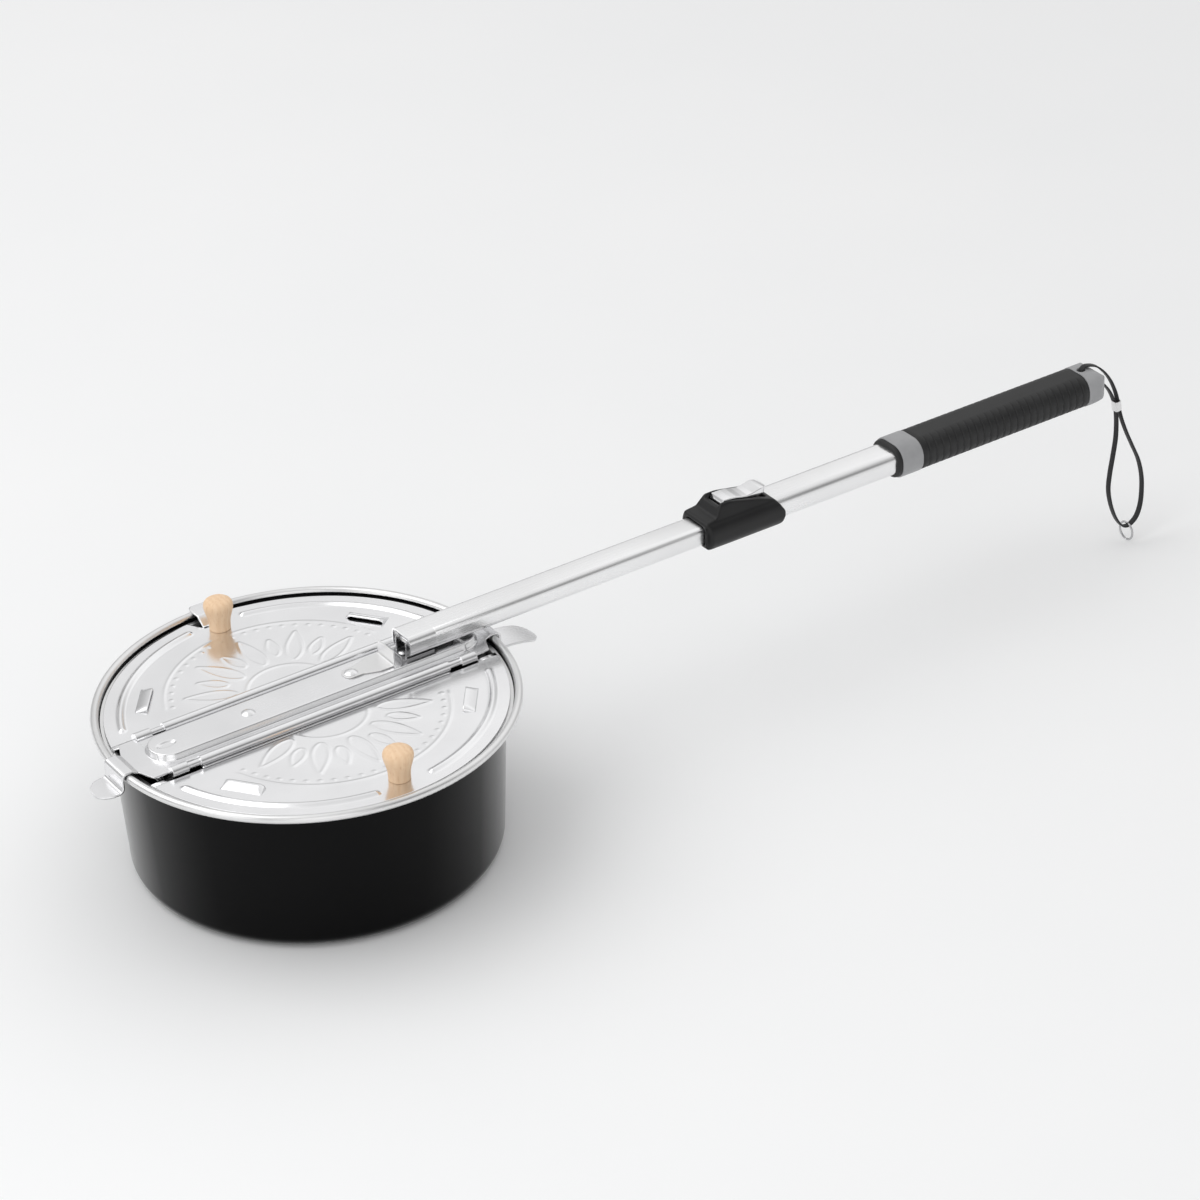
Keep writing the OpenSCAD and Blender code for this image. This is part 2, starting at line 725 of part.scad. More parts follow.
// Turned knob with a straight stem, a flared head and a crowned top
module knob() {
    foot = knob_foot_d / 2;
    head = knob_d / 2;
    crown = knob_h - 2.5;
    color(WOOD) translate([0, knob_y, lid_z1]) difference() {
        rotate_extrude() polygon([
            [0, 0],
            each corner_arc([0, 0], [foot, 0], [foot, knob_stem_h], 0.6),
            [foot, knob_stem_h],
            each corner_arc([foot, knob_stem_h], [head, knob_stem_h + 6], [head - 0.3, crown], 2.5),
            each corner_arc([head, knob_stem_h + 6], [head - 0.3, crown], [head - 3, knob_h], 1.5),
            each corner_arc([head - 0.3, crown], [head - 3, knob_h], [0, knob_h], 2),
            [0, knob_h]
        ]);
        translate([0, 0, -1]) cylinder(d = knob_screw_d + 2 * fit_clear, h = knob_screw_in + 1 + fit_clear);
    }
}

module knob_washer() {
    color(STEEL) translate([0, knob_y, lid_z0 - washer_t]) difference() {
        cylinder(d = 2.5 * knob_screw_d, h = washer_t);
        translate([0, 0, -1]) cylinder(d = knob_screw_d + 2 * fit_clear, h = washer_t + 2);
    }
}

module knob_screw() {
    head_h = 2.2;
    low = lid_z0 - washer_t;
    color(STEEL) translate([0, knob_y, 0]) difference() {
        union() {
            translate([0, 0, low - head_h]) cylinder(d = 2 * knob_screw_d, h = head_h);
            translate([0, 0, low - 0.5]) cylinder(d = knob_screw_d, h = lid_z1 + knob_screw_in - low + 0.5);
        }
        for (a = [0, 90]) {
            translate([0, 0, low - head_h]) rotate([0, 0, a])
                cube([1.3 * knob_screw_d, 0.9, head_h], center = true);
        }
    }
}

module near() {
    mirror([0, 1, 0]) children();
}

// Latch that turns on its rivet, with an upturned thumb lip towards the handle
module latch() {
    bend_r = 1.2;
    foot_r = rivet_head_d / 2 + 1;
    lip_x = latch_x + latch_len;
    color(STEEL) difference() {
        intersection() {
            across_y(latch_w) {
                translate([latch_x - foot_r, latch_z]) square([latch_len + foot_r - bend_r, latch_sheet]);
                translate([lip_x - bend_r, latch_top + bend_r])
                    ring_sector(bend_r + latch_sheet, latch_sheet, 270, 360);
                translate([lip_x, latch_top + bend_r]) square([latch_sheet, lip_h - bend_r - latch_sheet]);
            }
            linear_extrude(BIG) rounded_outline([
                [latch_x - foot_r, -foot_r, 4], [latch_x + foot_r, -foot_r, 4], [lip_x - 8, -latch_w / 2, 3],
                [lip_x + 2, -latch_w / 2, 0], [lip_x + 2, latch_w / 2, 0], [lip_x - 8, latch_w / 2, 3],
                [latch_x + foot_r, foot_r, 4], [latch_x - foot_r, foot_r, 4]
            ]);
        }
        translate([latch_x, 0, latch_z - 1]) cylinder(d = rivet_d + 2 * run_clear, h = latch_sheet + 2);
    }
}

// Lower tube, with its underside cut away round the pivot bracket
module lower_tube() {
    color([0.8, 0.81, 0.82]) difference() {
        along_x(tube_x, lower_len) difference() {
            tube_section(lower_w, lower_h, lower_corner);
            tube_section(inner_w, inner_h, lower_corner - tube_wall);
        }
        translate([tube_x - 1, -inner_w / 2 + 0.4, handle_z - lower_h])
            cube([notch_end - tube_x + 1, inner_w - 0.8, lower_h - 1]);
        cross_pin(pivot_x, handle_z, pivot_d + 2 * run_clear, lower_w + 2);
    }
}

// Plastic bush plugged into the lower tube's end, sliding in the upper tube
module guide_bush() {
    plug = 14;
    plug_w = inner_w - 2 * fit_clear;
    plug_h = inner_h - 2 * fit_clear;
    flange = 3;
    color(BLACK) difference() {
        union() {
            along_x(lower_end - plug, plug + flange)
                tube_section(plug_w, plug_h, lower_corner - tube_wall - fit_clear);
            along_x(lower_end, flange) tube_section(lower_w, lower_h, lower_corner);
        }
        along_x(lower_end - plug - 1, plug + flange + 2) tube_section(inner_w - 6, inner_h - 5, 1.5);
    }
}

module upper_tube() {
    color([0.8, 0.81, 0.82]) difference() {
        along_x(upper_x, cap_x - upper_x) difference() {
            tube_section(upper_w, upper_h, upper_corner);
            tube_section(upper_gap_w, upper_gap_h, lower_corner + slide_gap);
        }
        for (x = screw_xs) {
            translate([x, 0, handle_z - upper_h]) cylinder(d = collar_screw_d + 2 * fit_clear, h = upper_h);
        }
    }
}

// Side view of the collar: throat, hump and slanted back, from the collar's front at handle height
module collar_side() {
    half = collar_h / 2;
    lead = 2.5;
    translate([collar_x, handle_z]) rounded_outline([
        [lead, -half + 2.2, 1.5], [collar_len - 4, -half, 4], [collar_len - 1.8, 0.5, 5],
        [collar_len - 7, half - 1, 5], [collar_len - 16, hump_h - 5.5, 6], [21, hump_h, 6],
        [15.6, hump_h, 3], [10.5, half, 2], [lead, half - 1, 2.5]
    ]);
}

// Front view of the collar, with the hump's sloping flanks
module collar_front() {
    flank_z = 2;
    flank_y = collar_w / 2 - 1.8;
    tube_section(collar_w, collar_h, collar_h / 2 - 1.5);
    translate([0, handle_z]) rounded_outline([
        [-flank_y, flank_z, 0], [flank_y, flank_z, 0], [hump_w / 2, hump_h, 2.2], [-hump_w / 2, hump_h, 2.2]
    ]);
}

module lock_collar() {
    foot_from = collar_x + 12.9;
    foot_room = 11.8;
    pocket_from = collar_x + 16.8;
    pocket_to = collar_x + 49;
    brow_z = handle_z + 15.2;
    color(BLACK) difference() {
        intersection() {
            across_y(collar_w + 2) collar_side();
            along_x(collar_x - 1, collar_len + 2) collar_front();
        }
        along_x(collar_x - 1, throat_len + 2)
            tube_section(upper_gap_w, upper_gap_h, lower_corner + slide_gap);
        along_x(upper_x, collar_len)
            tube_section(upper_w + 2 * fit_clear, upper_h + 2 * fit_clear, upper_corner + fit_clear);
        translate([pocket_from, -lever_slot_w / 2, pocket_z])
            cube([pocket_to - pocket_from, lever_slot_w, hump_h]);
        translate([foot_from, -lever_slot_w / 2, handle_z])
            cube([upper_x - foot_from, lever_slot_w, foot_room]);
        translate([collar_x, -lever_slot_w / 2, brow_z])
            cube([pocket_from - collar_x + 1, lever_slot_w, hump_h]);
        cross_pin(lever_px, lever_pz, lever_pin_d + 2 * fit_clear, collar_w);
        for (x = screw_xs) {
            translate([x, 0, handle_z - collar_h]) cylinder(d = collar_screw_d + 2 * fit_clear, h = collar_h);
            translate([x, 0, handle_z - collar_h]) cylinder(d = 2 * collar_screw_d, h = collar_h / 2 + 1.6);
        }
    }
}

module collar_screws() {
    head_h = 1.4;
    low = handle_z - collar_h / 2 + 1.6 - head_h;
    inner = handle_z - upper_gap_h / 2 - fit_clear;
    color(STEEL) {
        for (x = screw_xs) {
            translate([x, 0, low]) cylinder(d = 2 * collar_screw_d - 2 * fit_clear, h = head_h);
            translate([x, 0, low]) cylinder(d = collar_screw_d, h = inner - low);
        }
    }
}

module lever_pin() {
    color(STEEL) cross_pin(lever_px, lever_pz, lever_pin_d, hump_w - 0.6);
}

// Chrome thumb lever: square front, hollow middle and a spoon-shaped tail
module lock_lever() {
    tail = 52;
    color([0.86, 0.87, 0.88]) difference() {
        intersection() {
            across_y(lever_w) translate([collar_x, handle_z]) rounded_outline([
                [13.5, 8.8, 0.4], [21, 8.8, 0.4], [23, 11, 1], [38.5, 11, 4], [tail, 13.2, 0.9],
                [tail, 15.4, 0.9], [46.5, 17, 4], [36.5, 15, 8], [28.5, 17.2, 8], [19, 17.7, 0.8],
                [17.6, 15, 1], [17.2, 10.2, 0.3], [13.5, 10, 0.4]
            ]);
            linear_extrude(BIG) translate([collar_x, 0]) rounded_outline([
                [13, -lever_w / 2, 0.5], [tail, -lever_w / 2, lever_w / 2 - 0.1],
                [tail, lever_w / 2, lever_w / 2 - 0.1], [13, lever_w / 2, 0.5]
            ]);
        }
        cross_pin(lever_px, lever_pz, lever_pin_d + 2 * run_clear, lever_w + 2);
        translate([spring_x, 0, handle_z]) cylinder(d = spring_d + 2 * swing_gap, h = spring_top - handle_z);
    }
}

module brake_pad() {
    color([0.2, 0.2, 0.2]) translate([collar_x + 13.8, -lever_w / 2 + 0.6, pad_z])
        cube([6.8, lever_w - 1.2, handle_z + 8.8 - pad_z]);
}

// Points of a tube's ring: an ellipse of half sizes a and b round p, across the direction t
function ring_at(p, t, w, a, b, sides) =
    let (across = unit(w - (w * t) * t), up = cross(t, across))
    [for (k = [0:sides - 1]) p + a * cos(360 * k / sides) * across + b * sin(360 * k / sides) * up];

// Closed tube swept along points, with its wide side along w
module swept_tube(route, w, a, b, sides) {
    n = len(route);
    rings = [for (i = [0:n - 1])
        ring_at(route[i], unit(route[min(i + 1, n - 1)] - route[max(i - 1, 0)]), w, a, b, sides)];
    walls = [for (i = [0:n - 2], k = [0:sides - 1]) let (
        p = i * sides + k,
        q = i * sides + (k + 1) % sides
    ) each [[p, p + sides, q], [q, p + sides, q + sides]]];
    first = [for (k = [1:sides - 2]) [0, k, k + 1]];
    last = [for (k = [1:sides - 2]) let (o = (n - 1) * sides) [o, o + k + 1, o + k]];
    polyhedron([for (ring = rings) each ring], concat(walls, first, last));
}

module lever_spring() {
    per_turn = 10;
    coil_r = (spring_d - spring_wire) / 2;
    low = pocket_z + spring_wire / 2 + fit_clear;
    high = spring_top - spring_wire / 2 - fit_clear;
    count = spring_turns * per_turn;
    echo(spring_turn_gap_mm = (high - low) / spring_turns - spring_wire);
    color(STEEL) swept_tube(
        [for (i = [0:count]) let (a = 360 * i / per_turn)
            [spring_x + coil_r * cos(a), coil_r * sin(a), low + (high - low) * i / count]],
        [0, 0, 1], spring_wire / 2, spring_wire / 2, 6
    );
}

// Rubber grip with grooves round it
module grip() {
    pitch = grip_len / (groove_count + 1);
    color(BLACK) difference() {
        along_x(rubber_x, grip_len) tube_section(grip_w, grip_h, grip_corner);
        along_x(rubber_x - 1, grip_len + 2)
            tube_section(upper_w + 2 * fit_clear, upper_h + 2 * fit_clear, upper_corner + fit_clear);
        for (i = [1:groove_count]) {
            along_x(rubber_x + i * pitch - groove_w / 2, groove_w) difference() {
                tube_section(grip_w + 2, grip_h + 2, grip_corner);
                tube_section(grip_w - 2 * groove_deep, grip_h - 2 * groove_deep, grip_corner - groove_deep);
            }
        }
    }
}

// A collar round the upper tube, from x, larger than the grip by rise
module sleeve(x, length, rise) {
    along_x(x, length) difference() {
        tube_section(grip_w + 2 * rise, grip_h + 2 * rise, grip_corner + rise);
        tube_section(upper_w + 2 * fit_clear, upper_h + 2 * fit_clear, upper_corner + fit_clear);
    }
}

module grip_lip() {
    color(BLACK) sleeve(grip_x, lip_len, -0.5);
}

module front_ring() {
    color(GREY) sleeve(ring_x, ring_len, ring_rise);
}

// End cap: plugged into the upper tube, rounded at its end and cut away below, with two strap holes
module end_cap() {
    half = cap_h / 2;
    hole_d = strap_w + 1.2;
    strap_last = STRAP[len(STRAP) - 1];
    plug = 18;
    color(GREY) difference() {
        union() {
            intersection() {
                along_x(cap_x, cap_len) tube_section(cap_w, cap_h, cap_corner);
                across_y(cap_w) translate([cap_x, handle_z]) rounded_outline([
                    [0, -half, 0], [4, -half, 4], [cap_len, -half + 8, 4], [cap_len, half, 9], [0, half, 0]
                ]);
                linear_extrude(BIG) translate([cap_x, 0]) rounded_outline([
                    [0, -cap_w / 2, 0], [cap_len, -cap_w / 2, 9], [cap_len, cap_w / 2, 9], [0, cap_w / 2, 0]
                ]);
            }
            along_x(cap_x - plug, plug)
                tube_section(
                    upper_gap_w - 2 * fit_clear, upper_gap_h - 2 * fit_clear, lower_corner + slide_gap
                );
        }
        at_cap() {
            translate([STRAP[0][0], 0, STRAP[0][2]]) cylinder(d = hole_d, h = cap_h);
            translate([strap_last[0], 0, strap_last[2]]) rotate([0, 90, 0]) cylinder(d = hole_d, h = cap_h);
        }
    }
}

module at_cap() {
    translate([cap_x, 0, handle_z]) children();
}

module wrist_strap() {
    color(BLACK) at_cap() swept_tube(STRAP, [0, 1, 0], strap_w / 2, strap_t / 2, 8);
}

module strap_crimp() {
    color(STEEL) at_cap() translate(CRIMP_AT) rotate([0, -8, 0]) difference() {
        linear_extrude(crimp_len, center = true) rounded(crimp_w + 0.8, strap_w + 1.6, 1.4);
        linear_extrude(crimp_len + 2, center = true) rounded(crimp_w, strap_w + 0.8, 1);
    }
}

module strap_ring() {
    color(STEEL) at_cap() translate(STRAP_RING_AT) rotate([0, 90, 0])
        rotate_extrude() translate([(strap_ring_d - strap_ring_wire) / 2, 0]) circle(d = strap_ring_wire);
}

pan();
cross_bar();
hinge_pins();
bar_rivets();
pivot_bracket();
bracket_rivets();
pivot_pin();
handle_rest();
near_lid();
near() knob();  // near_knob
near() knob_screw();  // near_knob_screw
near() knob_washer();  // near_knob_washer
far_lid();
knob();  // far_knob
knob_screw();  // far_knob_screw
knob_washer();  // far_knob_washer
latch();
lower_tube();
guide_bush();
upper_tube();
lock_collar();
collar_screws();
lever_pin();
lever_spring();
grip();
grip_lip();
front_ring();
end_cap();
wrist_strap();
strap_crimp();
strap_ring();
lock_lever();
brake_pad();
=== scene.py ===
import math

import bmesh
import bpy
import numpy as np
from mathutils import Matrix, Vector


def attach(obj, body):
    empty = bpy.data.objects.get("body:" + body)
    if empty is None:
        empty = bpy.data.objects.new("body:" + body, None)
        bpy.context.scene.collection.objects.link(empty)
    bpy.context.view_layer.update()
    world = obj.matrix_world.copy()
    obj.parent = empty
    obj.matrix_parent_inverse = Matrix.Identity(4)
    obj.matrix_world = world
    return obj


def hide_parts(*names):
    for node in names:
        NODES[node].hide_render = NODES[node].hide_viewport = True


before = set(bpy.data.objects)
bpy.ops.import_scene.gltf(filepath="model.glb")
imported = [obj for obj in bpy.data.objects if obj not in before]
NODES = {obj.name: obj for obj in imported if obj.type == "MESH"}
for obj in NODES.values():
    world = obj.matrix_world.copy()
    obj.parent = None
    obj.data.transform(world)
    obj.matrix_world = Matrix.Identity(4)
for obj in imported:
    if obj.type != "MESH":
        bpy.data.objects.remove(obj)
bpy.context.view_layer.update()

MM = 0.001

# Sizes of the part, in millimetres, as the solids have them. First the pan
RIM_R = 120.0
BEAD_R = 2.4
LEDGE_Z = 91.2
PAN_SHEET = 1.2
# Lids: heights and radii, the hinge edge, louvres at angles in degrees, knob and lift tab
LID_Z = 92.5
LID_R = 112.6
LID_SHEET = 1.0
HINGE_Y = 20.5
HINGE_Z = 94.68
CURL_R = 3.18
CURL_HALF = 79.5
PANEL_Y = 24.2
LOUVRES = (37, 143)
KNOB_Y = 97.0
LIFT_Y = 103.8
LIFT_Z = 96.8
LIFT_HALF = 7.5
LIFT_SLOT = 6.0
# Cross bar: its flange, its ridge (longer on the right), and its ends over the rim
BAR_SHEET = 1.2
FLANGE_HALF = 97.5
FLANGE_Y = 16.92
FLANGE_TOP = 95.28
RIDGE_Z = 98.98
RIDGE_HALF = 87.0
RIDGE_MORE = 10.0
RISE_X = 111.0
CLIP_X = 121.8
CLIP_Z = 97.0
TAB_REACHES = ((1, 150.0), (-1, 135.0))
# Handle: its axis, sections as (width, height, corner), and places along X
HANDLE_Z = 106.78
TUBE_WALL = 0.9
LOWER_TUBE = (19.5, 12.4, 4.0)
UPPER_TUBE = (22.0, 14.9, 5.25)
BORE = (22.1, 15.0, 5.3)
OPEN_X = 62.5
LOWER_X = 80.0
LOWER_END = 334.5
COLLAR_X = 262.0
MOUTH_X = 264.5
UPPER_X = 284.0
LEVER_PIN_X = 293.0
LEVER_PIN_UP = 12.2
LIP_X = 405.0
RING_X = 408.0
GRIP_X = 423.0
CAP_X = 553.0


def add_object(name, data):
    obj = bpy.data.objects.new(name, data)
    bpy.context.scene.collection.objects.link(obj)
    return obj


# Camera, at the photograph's viewing angle
def make_camera():
    data = bpy.data.cameras.new("camera")
    data.sensor_fit = "HORIZONTAL"
    data.sensor_width = 36.0
    data.lens = 120.0
    data.clip_end = 50.0
    cam = add_object("camera", data)
    right = Vector((0.8247, -0.5646, -0.0334)).normalized()
    back = Vector((-0.4691, -0.7158, 0.5173)).normalized()
    up = back.cross(right).normalized()
    right = up.cross(back).normalized()
    place = Matrix.Identity(4)
    for i in range(3):
        place[i][0] = right[i]
        place[i][1] = up[i]
        place[i][2] = back[i]
    place.translation = Vector((-0.8882, -1.6551, 1.2812))
    cam.matrix_world = place
    bpy.context.scene.camera = cam


make_camera()


# Materials
def new_material(name):
    mat = bpy.data.materials.new(name)
    mat.use_nodes = True
    tree = mat.node_tree
    return mat, tree, tree.nodes["Principled BSDF"]


def node(tree, kind, **values):
    """A new node, with its properties and inputs set by name."""
    n = tree.nodes.new(kind)
    for key, value in values.items():
        if hasattr(n, key):
            setattr(n, key, value)
        else:
            n.inputs[key].default_value = value
    return n


def mapped(tree, scale=(1, 1, 1)):
    """The object's own coordinates, scaled."""
    coords = node(tree, "ShaderNodeTexCoord")
    mapping = node(tree, "ShaderNodeMapping", Scale=scale)
    tree.links.new(coords.outputs["Object"], mapping.inputs["Vector"])
    return mapping.outputs["Vector"]


def noise(tree, vector, scale, detail, rough=0.55):
    n = node(tree, "ShaderNodeTexNoise", Scale=scale, Detail=detail, Roughness=rough)
    tree.links.new(vector, n.inputs["Vector"])
    return n.outputs["Fac"]


def ramp(tree, fac, stops):
    n = node(tree, "ShaderNodeValToRGB")
    while len(n.color_ramp.elements) < len(stops):
        n.color_ramp.elements.new(0.5)
    for element, (at, colour) in zip(n.color_ramp.elements, stops):
        element.position = at
        value = colour if isinstance(colour, tuple) else (colour, colour, colour)
        element.color = (*value, 1.0)
    tree.links.new(fac, n.inputs["Fac"])
    return n.outputs["Color"]


def shade(tree, bsdf, key, fac, stops):
    """Drives one input of the shader by a ramp over a value."""
    tree.links.new(ramp(tree, fac, stops), bsdf.inputs[key])


def bump(tree, bsdf, height, strength, distance_mm, under=None):
    n = node(tree, "ShaderNodeBump", Strength=strength, Distance=distance_mm * MM)
    tree.links.new(height, n.inputs["Height"])
    if under is not None:
        tree.links.new(under.outputs["Normal"], n.inputs["Normal"])
    tree.links.new(n.outputs["Normal"], bsdf.inputs["Normal"])
    return n


def metal(name, colours, rough, grain_scale, grain, spots=0.0):
    """Bare sheet metal: a drawn grain in one direction, soft cloudy wear and, with spots, faint dents."""
    mat, tree, bsdf = new_material(name)
    bsdf.inputs["Metallic"].default_value = 1.0
    cloud = noise(tree, mapped(tree), 22.0, 5.0)
    shade(tree, bsdf, "Base Color", cloud, [(0.3, colours[0]), (0.7, colours[1])])
    drawn = noise(tree, mapped(tree, grain_scale), 1.0, 3.0, 0.7)
    mix = node(tree, "ShaderNodeMix", data_type="RGBA", blend_type="MIX")
    mix.inputs["Factor"].default_value = 0.55
    tree.links.new(cloud, mix.inputs["A"])
    tree.links.new(drawn, mix.inputs["B"])
    shade(tree, bsdf, "Roughness", mix.outputs["Result"], [(0.3, rough[0]), (0.7, rough[1])])
    first = bump(tree, bsdf, drawn, grain, 0.05)
    if spots:
        dents = noise(tree, mapped(tree), 90.0, 2.0)
        bump(tree, bsdf, dents, spots, 0.15, first)
    return mat


def moulded(name, colours, rough, speck_mm, depth, spec=0.4):
    """Moulded plastic or rubber with a fine sparked texture."""
    mat, tree, bsdf = new_material(name)
    cloud = noise(tree, mapped(tree), 60.0, 4.0)
    shade(tree, bsdf, "Base Color", cloud, [(0.3, colours[0]), (0.7, colours[1])])
    speck = noise(tree, mapped(tree), 1.0 / (speck_mm * MM), 2.0)
    shade(tree, bsdf, "Roughness", speck, [(0.3, rough[0]), (0.7, rough[1])])
    bsdf.inputs["Specular IOR Level"].default_value = spec
    bump(tree, bsdf, speck, depth, 0.06)
    return mat


def enamel(name):
    """Glossy black stove paint with a slight orange peel, which shines more at a low angle."""
    mat, tree, bsdf = new_material(name)
    cloud = noise(tree, mapped(tree), 9.0, 4.0)
    shade(tree, bsdf, "Base Color", cloud, [(0.3, (0.0012, 0.0012, 0.0014)), (0.75, (0.0024, 0.0024, 0.0027))])
    fine = noise(tree, mapped(tree), 140.0, 3.0)
    shade(tree, bsdf, "Roughness", fine, [(0.3, 0.12), (0.75, 0.18)])
    weight = node(tree, "ShaderNodeLayerWeight", Blend=0.5)
    shine = [(0.35, 0.09), (0.6, 0.22), (0.85, 1.0)]
    shade(tree, bsdf, "Specular IOR Level", weight.outputs["Facing"], shine)
    peel = noise(tree, mapped(tree), 300.0, 2.0)
    bump(tree, bsdf, peel, 0.03, 0.06)
    return mat


def wood(name):
    """Pale turned beech: growth bands across the knob, short darker flecks and a waxed surface."""
    mat, tree, bsdf = new_material(name)
    stretched = mapped(tree, (170, 170, 28))
    wave = node(tree, "ShaderNodeTexWave", wave_type="BANDS", bands_direction="X",
                Scale=0.55, Distortion=4.0, Detail=3.0)
    tree.links.new(stretched, wave.inputs["Vector"])
    base = ramp(tree, wave.outputs["Fac"],
                [(0.0, (0.88, 0.62, 0.40)), (0.55, (0.90, 0.645, 0.42)), (1.0, (0.92, 0.67, 0.45))])
    fleck = noise(tree, mapped(tree, (900, 900, 130)), 1.0, 2.0)
    dark = ramp(tree, fleck, [(0.30, (0.90, 0.84, 0.78)), (0.46, (1.0, 1.0, 1.0))])
    mix = node(tree, "ShaderNodeMix", data_type="RGBA", blend_type="MULTIPLY")
    mix.inputs["Factor"].default_value = 0.8
    tree.links.new(base, mix.inputs["A"])
    tree.links.new(dark, mix.inputs["B"])
    tree.links.new(mix.outputs["Result"], bsdf.inputs["Base Color"])
    shade(tree, bsdf, "Roughness", fleck, [(0.3, 0.62), (0.6, 0.46)])
    bsdf.inputs["Specular IOR Level"].default_value = 0.35
    bump(tree, bsdf, fleck, 0.12, 0.08)
    return mat


def webbing(name):
    """Flat black nylon webbing: a fine diagonal twill with a soft sheen."""
    mat, tree, bsdf = new_material(name)
    wave = node(tree, "ShaderNodeTexWave", wave_type="BANDS", bands_direction="DIAGONAL",
                Scale=0.42, Distortion=0.6)
    tree.links.new(mapped(tree, (1000, 1000, 1000)), wave.inputs["Vector"])
    twill = wave.outputs["Fac"]
    shade(tree, bsdf, "Base Color", twill, [(0.2, (0.006, 0.006, 0.007)), (0.8, (0.022, 0.022, 0.024))])
    bsdf.inputs["Roughness"].default_value = 0.72
    bsdf.inputs["Sheen Weight"].default_value = 0.25
    bsdf.inputs["Sheen Roughness"].default_value = 0.4
    bump(tree, bsdf, twill, 0.5, 0.12)
    return mat


LID = metal("lid_metal", ((0.84, 0.84, 0.85), (0.91, 0.91, 0.92)), (0.14, 0.24),
            (60, 1400, 1400), grain=0.03, spots=0.03)
STEEL = metal("bar_steel", ((0.80, 0.80, 0.81), (0.87, 0.87, 0.88)), (0.20, 0.30),
              (40, 1600, 1600), grain=0.05)
RIM = metal("rim_metal", ((0.74, 0.74, 0.74), (0.83, 0.83, 0.83)), (0.26, 0.38),
            (300, 300, 1800), grain=0.05)
TUBE = metal("tube_metal", ((0.87, 0.87, 0.875), (0.92, 0.92, 0.925)), (0.22, 0.30),
             (14, 2600, 2600), grain=0.05)
CHROME = metal("lever_chrome", ((0.80, 0.80, 0.81), (0.88, 0.88, 0.89)), (0.07, 0.14),
               (200, 200, 200), grain=0.01)
ENAMEL = enamel("pan_enamel")
WOOD = wood("knob_wood")
PLASTIC = moulded("collar_plastic", ((0.004, 0.004, 0.0045), (0.007, 0.007, 0.0075)), (0.34, 0.46),
                  0.35, 0.16, spec=0.38)
LINING = moulded("pan_lining", ((0.040, 0.040, 0.041), (0.060, 0.060, 0.061)), (0.26, 0.38),
                 0.8, 0.10, spec=0.6)
RUBBER = moulded("grip_rubber", ((0.007, 0.007, 0.0075), (0.012, 0.012, 0.0125)), (0.42, 0.56),
                 0.5, 0.16, spec=0.45)
WIRE = metal("wire_steel", ((0.46, 0.46, 0.47), (0.56, 0.56, 0.57)), (0.18, 0.28),
             (200, 200, 200), grain=0.02)
GREY = moulded("cap_plastic", ((0.31, 0.312, 0.32), (0.38, 0.382, 0.39)), (0.38, 0.50), 0.4, 0.12)
WEB = webbing("strap_web")


# Mesh helpers: all points are given in millimetres in the part's frame
def make(name, verts, faces, mats, body, face_mats=None, replaces=(), sharp=35.0):
    """One visible piece, put on its body. Edges sharper than the given angle stay sharp."""
    mesh = bpy.data.meshes.new(name)
    mesh.from_pydata((np.asarray(verts, float) * MM).tolist(), [], faces)
    mesh.validate()
    bm = bmesh.new()
    bm.from_mesh(mesh)
    bmesh.ops.recalc_face_normals(bm, faces=bm.faces[:])
    bm.to_mesh(mesh)
    bm.free()
    for m in mats:
        mesh.materials.append(m)
    if face_mats is not None:
        mesh.polygons.foreach_set("material_index", face_mats)
    mesh.polygons.foreach_set("use_smooth", [True] * len(mesh.polygons))
    if sharp:
        mesh.set_sharp_from_angle(angle=math.radians(sharp))
    obj = add_object(name, mesh)
    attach(obj, body)
    if replaces:
        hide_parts(*replaces)
    return obj


def thicken(obj, sheet):
    """Gives a piece made as a sheet's top face its thickness downwards."""
    solid = obj.modifiers.new("sheet", "SOLIDIFY")
    solid.thickness = sheet * MM
    solid.offset = -1.0


def loft(rings, closed=False):
    """A skin over rings of equal count. A closed loft joins the last ring to the first; others get caps."""
    count, sides = len(rings), len(rings[0])
    verts = [p for ring in rings for p in ring]
    faces = []
    for i in range(count if closed else count - 1):
        a, b = i * sides, ((i + 1) % count) * sides
        for k in range(sides):
            n = (k + 1) % sides
            faces.append((a + k, a + n, b + n, b + k))
    if not closed:
        faces.append(tuple(range(sides)))
        faces.append(tuple(range((count - 1) * sides, count * sides)))
    return verts, faces


def join(parts):
    """One list of points and faces from several."""
    verts, faces = [], []
    for v, f in parts:
        base = len(verts)
        verts.extend(v)
        faces.extend(tuple(base + i for i in face) for face in f)
    return verts, faces


def arc(cx, cy, r, a0, a1, steps):
    return [(cx + r * math.cos(math.radians(a0 + (a1 - a0) * i / steps)),
             cy + r * math.sin(math.radians(a0 + (a1 - a0) * i / steps))) for i in range(steps + 1)]


def rounded_rect(w, h, r, steps):
    """Points round a rectangle with round corners, centred, from the right side up."""
    pts = []
    for cx, cy, a0 in ((1, 1, 0), (-1, 1, 90), (-1, -1, 180), (1, -1, 270)):
        for i in range(steps + 1):
            a = math.radians(a0 + 90 * i / steps)
            pts.append((cx * (w / 2 - r) + r * math.cos(a), cy * (h / 2 - r) + r * math.sin(a)))
    return pts


def section(x, w, h, r, steps=10):
    """A rounded rectangle across the handle at x."""
    corner = min(r, w / 2 - 0.01, h / 2 - 0.01)
    return [(x, y, HANDLE_Z + z) for y, z in rounded_rect(w, h, corner, steps)]


def smoothstep(a, b, x):
    t = np.clip((x - a) / (b - a), 0.0, 1.0)
    return t * t * (3 - 2 * t)


